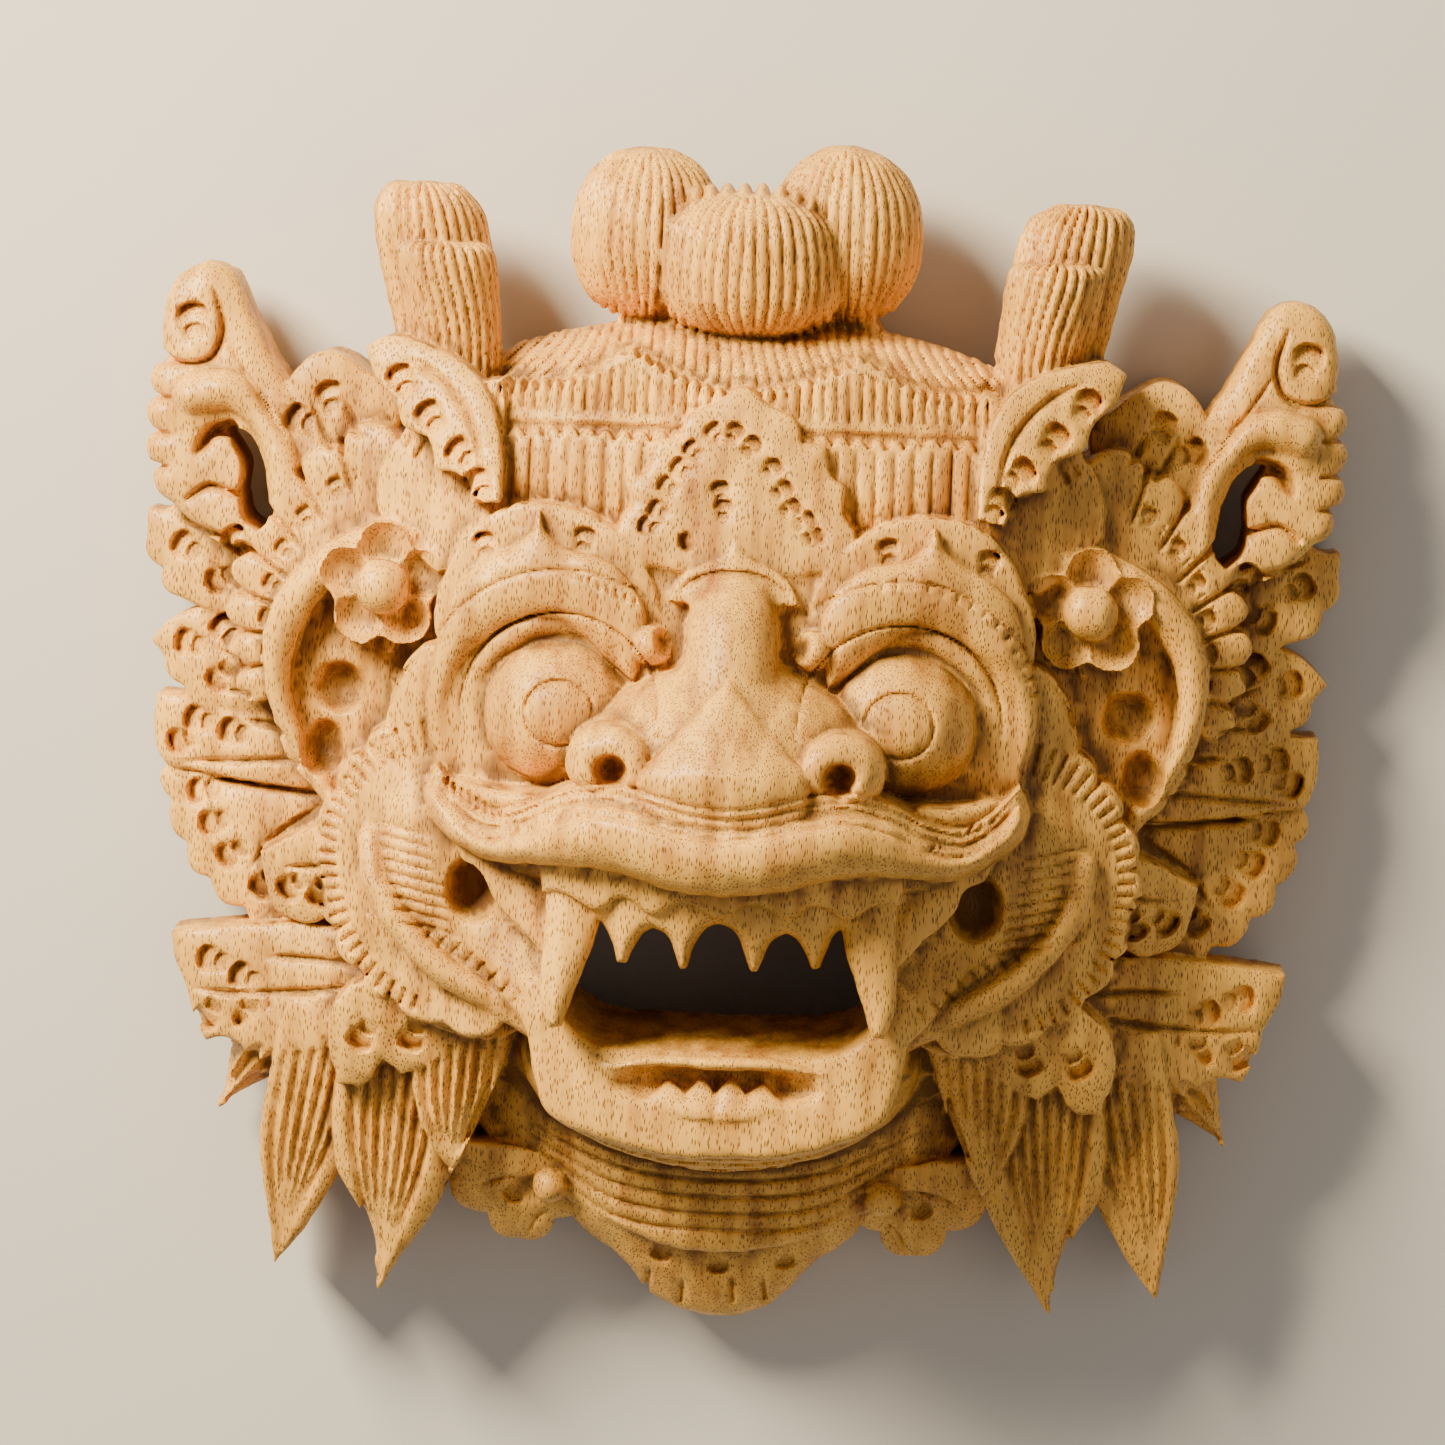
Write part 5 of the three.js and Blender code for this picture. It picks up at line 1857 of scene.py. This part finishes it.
class ShadeAndWear:
    """Depth of each point between its neighbours, which sets the painted shade of the hollows and side walls
    and the lighter wear of the high places.
    """

    FINE, FINE_FULL, FINE_SHARE = 1.3, 0.9, 0.65  # blur and depth of a full mark in millimetres, weight
    WIDE, WIDE_FULL, WIDE_SHARE = 5.0, 6.0, 0.35  # the same for the hollows between the forms
    BACK = 0.5  # height up to which nothing stands in front of the sawn back
    WALL, WALL_FULL = 0.6, 2.0  # depth below the brink where a side wall starts, and its ramp
    WALL_TINT, WALL_DARKER, WALL_REACH = 0.06, 0.5, 30.0  # painted shade on a side wall, the shade its depth adds, and the depth at which all of it is added

    def mark(self, piece: bpy.types.Object, block: Block, front: np.ndarray) -> None:
        """Stores the depth of each point as a point attribute, which sets painted shade in the hollows and
        lighter wear on the high places.

        Args:
            piece: The piece.
            block: The carved block.
            front: Height of its front over X and Y.
        """
        step = block.pitch
        fine = blurred(front, self.FINE / step) - front
        wide = blurred(front, self.WIDE / step) - front
        outside = front < self.BACK
        fine[outside] = 0.0
        wide[outside] = 0.0
        # painted shade: a point deeper than its blurred surroundings gets a positive value, which the
        # material darkens; a point above them gets a negative one for lighter wear
        shade_and_wear = (
            np.clip(fine / self.FINE_FULL, -1.0, 1.0) * self.FINE_SHARE
            + np.clip(wide / self.WIDE_FULL, -1.0, 1.0) * self.WIDE_SHARE
        )
        places = np.empty(3 * len(piece.data.vertices), dtype=np.float32)
        piece.data.vertices.foreach_get("co", places)
        places = places.reshape(-1, 3) / MM
        i, j = (
            np.clip(np.round((places[:, n] - block.axes[n][0]) / step).astype(int), 0, front.shape[n] - 1)
            for n in (0, 1)
        )
        # painted shade on side walls, darker the further they drop below the highest wood beside them
        brink = front.copy()
        for axis in (0, 1):
            for shift in (-1, 1):
                brink = np.maximum(brink, np.roll(brink, shift, axis))
        below = brink[i, j] - places[:, 2]
        beside = np.clip((below - self.WALL) / self.WALL_FULL, 0.0, 1.0)
        wall = self.WALL_TINT + self.WALL_DARKER * np.clip(below / self.WALL_REACH, 0.0, 1.0)
        value = shade_and_wear[i, j] * (1.0 - beside) + wall * beside
        store = piece.data.attributes.new("shade_and_wear", "FLOAT", "POINT")
        store.data.foreach_set("value", value.astype(np.float32))


def linear(code: str) -> tuple[float, float, float, float]:
    """Turns an sRGB hex colour into the linear colour a shader reads.

    Args:
        code: Six hex digits.

    Returns:
        Linear red, green, blue and 1 for alpha.
    """
    values = []
    for i in (0, 2, 4):
        share = int(code[i : i + 2], 16) / 255.0
        values.append(share / 12.92 if share <= 0.04045 else ((share + 0.055) / 1.055) ** 2.4)
    return (*values, 1.0)


class Nodes:
    """Adds shader nodes to a material and joins them.

    Attributes:
        tree: The material's node tree.
    """

    def __init__(self, tree: bpy.types.NodeTree) -> None:
        """Takes the tree the nodes go into.

        Args:
            tree: The material's node tree.
        """
        self.tree = tree

    def add(
        self, kind: str, inputs: dict[str | int, object], out: str | int = 0, **settings: object
    ) -> bpy.types.NodeSocket:
        """Adds a node.

        Args:
            kind: Node type after "ShaderNode".
            inputs: Values or sockets by the input's name or number.
            out: Name or number of the output that is wanted.
            **settings: Properties of the node.

        Returns:
            The output's socket.
        """
        node = self.tree.nodes.new("ShaderNode" + kind)
        for name, value in settings.items():
            setattr(node, name, value)
        for name, value in inputs.items():
            if isinstance(value, bpy.types.NodeSocket):
                self.tree.links.new(value, node.inputs[name])
            else:
                node.inputs[name].default_value = value
        return node.outputs[out]

    def ramp(self, value: bpy.types.NodeSocket, start: Place, end: Place) -> bpy.types.NodeSocket:
        """Maps a value evenly from one range to another and stops at its ends.

        Args:
            value: The value.
            start: Where the range starts, and what it gives there.
            end: Where the range ends, and what it gives there.

        Returns:
            The mapped value.
        """
        limits = {"From Min": start[0], "To Min": start[1], "From Max": end[0], "To Max": end[1]}
        return self.add("MapRange", {"Value": value, **limits})

    def mix(self, share: bpy.types.NodeSocket, under: object, over: object) -> bpy.types.NodeSocket:
        """Lays one colour over another.

        Args:
            share: How much of the upper colour shows.
            under: The lower colour or its socket.
            over: The upper colour or its socket.

        Returns:
            The mixed colour.
        """
        return self.add("Mix", {"Factor": share, 6: under, 7: over}, 2, data_type="RGBA")


@dataclass(frozen=True)
class CarvedWood:
    """Oiled tropical hardwood, cut with gouges and worn smooth by hands.

    Attributes:
        light: Colour of the worn high places.
        middle: Colour of most of the wood.
        painted_shade: Colour of the shade painted into the deep places and down the side walls.
        pore: Colour of the pores.
        pore_length: Length of a pore along the grain, in metres.
        pore_width: Distance between pores across the grain, in metres.
        streak: Width of a streak of the grain, in metres.
        pit: Depth of a pore, in metres.
        fibre: Height of a streak, in metres.
        gloss: Index of refraction of the oil.
    """

    light: str = "F9BE54"
    middle: str = "A56824"
    painted_shade: str = "4A2A10"
    pore: str = "603716"
    pore_length: float = 0.0019
    pore_width: float = 0.00038
    streak: float = 0.004
    pit: float = 0.00012
    fibre: float = 0.0003
    gloss: float = 1.42

    def build(self) -> bpy.types.Material:
        """Returns the material: grain, then the painted shade of the hollows and the lighter wear of the high
        places, then the pores.
        """
        material = bpy.data.materials.new("carved_hardwood_oiled")
        material.use_nodes = True
        shader = material.node_tree.nodes["Principled BSDF"]
        nodes = Nodes(material.node_tree)
        place = nodes.add("TexCoord", {}, "Object")
        shade_and_wear = nodes.add("Attribute", {}, "Fac", attribute_name="shade_and_wear")

        along = (1 / self.streak, 0.06 / self.streak, 0.6 / self.streak)
        grain = nodes.add("Mapping", {"Vector": place, "Scale": along})
        streaks = nodes.add(
            "TexNoise", {"Vector": grain, "Scale": 1.0, "Detail": 4.0, "Roughness": 0.6}, "Fac"
        )
        streaky = nodes.ramp(streaks, (0.3, 0.0), (0.62, 1.0))
        base = nodes.mix(streaky, linear(self.middle), linear(self.light))
        tone = nodes.add("TexNoise", {"Vector": place, "Scale": 28.0, "Detail": 2.0}, "Fac")
        patchy = nodes.ramp(tone, (0.35, 0.84), (0.7, 1.12))
        toned = nodes.add("VectorMath", {0: base, "Scale": patchy}, operation="SCALE")

        # painted shade: the hollows and side walls are mixed towards a dark brown by their depth
        deep = nodes.ramp(shade_and_wear, (0.02, 0.0), (0.8, 0.8))
        shaded = nodes.mix(deep, toned, linear(self.painted_shade))
        worn = nodes.ramp(shade_and_wear, (-0.1, 0.0), (-0.6, 0.4))
        polished = nodes.mix(worn, shaded, linear(self.light))

        dashes = (1 / self.pore_width, 1 / self.pore_length, 1 / self.pore_width)
        cells = nodes.add("Mapping", {"Vector": place, "Scale": dashes})
        near = nodes.add("TexVoronoi", {"Vector": cells, "Scale": 1.0}, "Distance")
        pores = nodes.ramp(near, (0.17, 0.85), (0.4, 0.0))
        colour = nodes.mix(pores, polished, linear(self.pore))
        nodes.tree.links.new(colour, shader.inputs["Base Color"])

        rough = nodes.ramp(shade_and_wear, (-0.5, 0.4), (0.6, 0.66))
        nodes.tree.links.new(rough, shader.inputs["Roughness"])
        shader.inputs["IOR"].default_value = self.gloss
        pits = nodes.add("Bump", {"Height": pores, "Distance": self.pit, "Strength": 0.7}, invert=True)
        fibre = nodes.add(
            "Bump", {"Height": streaks, "Distance": self.fibre, "Strength": 0.5, "Normal": pits}
        )
        nodes.tree.links.new(fibre, shader.inputs["Normal"])
        return material


@dataclass(frozen=True)
class Lamp:
    """A soft square lamp that points at the mask.

    Attributes:
        name: Its name.
        place: Where it stands, in metres.
        size: Edge of its face, in metres.
        power: Its power, in watts.
        tint: Its colour as sRGB hex.
    """

    name: str
    place: Place
    size: float
    power: float
    tint: str

    def light(self, target: Vector) -> None:
        """Adds the lamp.

        Args:
            target: The place it points at.
        """
        data = bpy.data.lights.new(self.name, "AREA")
        data.size = self.size
        data.energy = self.power
        data.color = linear(self.tint)[:3]
        lamp = bpy.data.objects.new(self.name, data)
        lamp.location = self.place
        lamp.rotation_euler = (Vector(self.place) - target).to_track_quat("Z", "Y").to_euler()
        bpy.context.collection.objects.link(lamp)


class Studio:
    """A pale floor, soft lamps and the camera that looks down on the mask."""

    HALF_FLOOR = 1.6
    PAPER, PAPER_ROUGHNESS = "D8D5CF", 0.9
    LAMPS = (
        Lamp("key", place=(-0.46, 0.46, 0.46), size=0.28, power=21.0, tint="FFECCA"),
        Lamp("fill", place=(0.7, -0.3, 1.2), size=1.0, power=2.5, tint="FFE9D2"),
    )
    SURROUND, SURROUND_STRENGTH = "E6E2DC", 0.33
    TARGET = Vector((0.0, 0.0, 0.045))
    DISTANCE = 1.0  # metres from the target to the camera
    PITCH, YAW, ROLL = 6.0, 1.5, 2.1  # degrees the camera is turned from straight above
    PICTURE = 0.2408  # metres the picture shows at the target
    SHIFT = (-0.00519, 0.02138)  # share of the picture that it is moved by
    SENSOR = 36.0  # width of the camera's sensor, in millimetres

    def floor(self) -> bpy.types.Object:
        """Returns the pale floor the mask lies on."""
        bpy.ops.mesh.primitive_plane_add(size=2 * self.HALF_FLOOR)
        plane = bpy.context.object
        plane.name = "studio_floor"
        material = bpy.data.materials.new("pale_matt_paper")
        material.use_nodes = True
        shader = material.node_tree.nodes["Principled BSDF"]
        shader.inputs["Base Color"].default_value = linear(self.PAPER)
        shader.inputs["Roughness"].default_value = self.PAPER_ROUGHNESS
        plane.data.materials.append(material)
        return plane

    def light(self) -> None:
        """Adds the lamps and an even, dim surround."""
        for lamp in self.LAMPS:
            lamp.light(self.TARGET)
        world = bpy.data.worlds.new("soft_surround")
        world.use_nodes = True
        backdrop = world.node_tree.nodes["Background"]
        backdrop.inputs["Color"].default_value = linear(self.SURROUND)
        backdrop.inputs["Strength"].default_value = self.SURROUND_STRENGTH
        bpy.context.scene.world = world

    def camera(self) -> None:
        """Sets the camera over the mask, turned a little as it was held."""
        pitch, yaw, roll = (math.radians(angle) for angle in (self.PITCH, self.YAW, self.ROLL))
        away = Vector((math.sin(yaw), math.sin(pitch), math.cos(pitch) * math.cos(yaw))).normalized()
        right = Vector((0.0, 1.0, 0.0)).cross(away).normalized()
        up = away.cross(right)
        turned = right * math.cos(roll) + up * math.sin(roll)
        upright = up * math.cos(roll) - right * math.sin(roll)
        place = self.TARGET + away * self.DISTANCE
        data = bpy.data.cameras.new("camera")
        data.sensor_width = self.SENSOR
        data.lens = self.SENSOR * self.DISTANCE / self.PICTURE
        data.shift_x, data.shift_y = self.SHIFT
        camera = bpy.data.objects.new("camera", data)
        rows = [[turned[i], upright[i], away[i], place[i]] for i in range(3)]
        camera.matrix_world = Matrix([*rows, [0.0, 0.0, 0.0, 1.0]])
        bpy.context.collection.objects.link(camera)
        bpy.context.scene.camera = camera


def main() -> None:
    """Carves the mask, gives it its wood and sets up the studio."""
    logging.basicConfig(level=logging.INFO, format="%(message)s")
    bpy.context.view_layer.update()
    block, front = carved(PITCH)
    mask = Mesher().build(block, "carved_mask")
    ShadeAndWear().mark(mask, block, front)
    mask.data.materials.append(CarvedWood().build())
    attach(mask, "root")
    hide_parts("mask")
    log.info("carved_mask is in place")
    studio = Studio()
    studio.floor()
    studio.light()
    studio.camera()


if __name__ == "__main__":
    main()
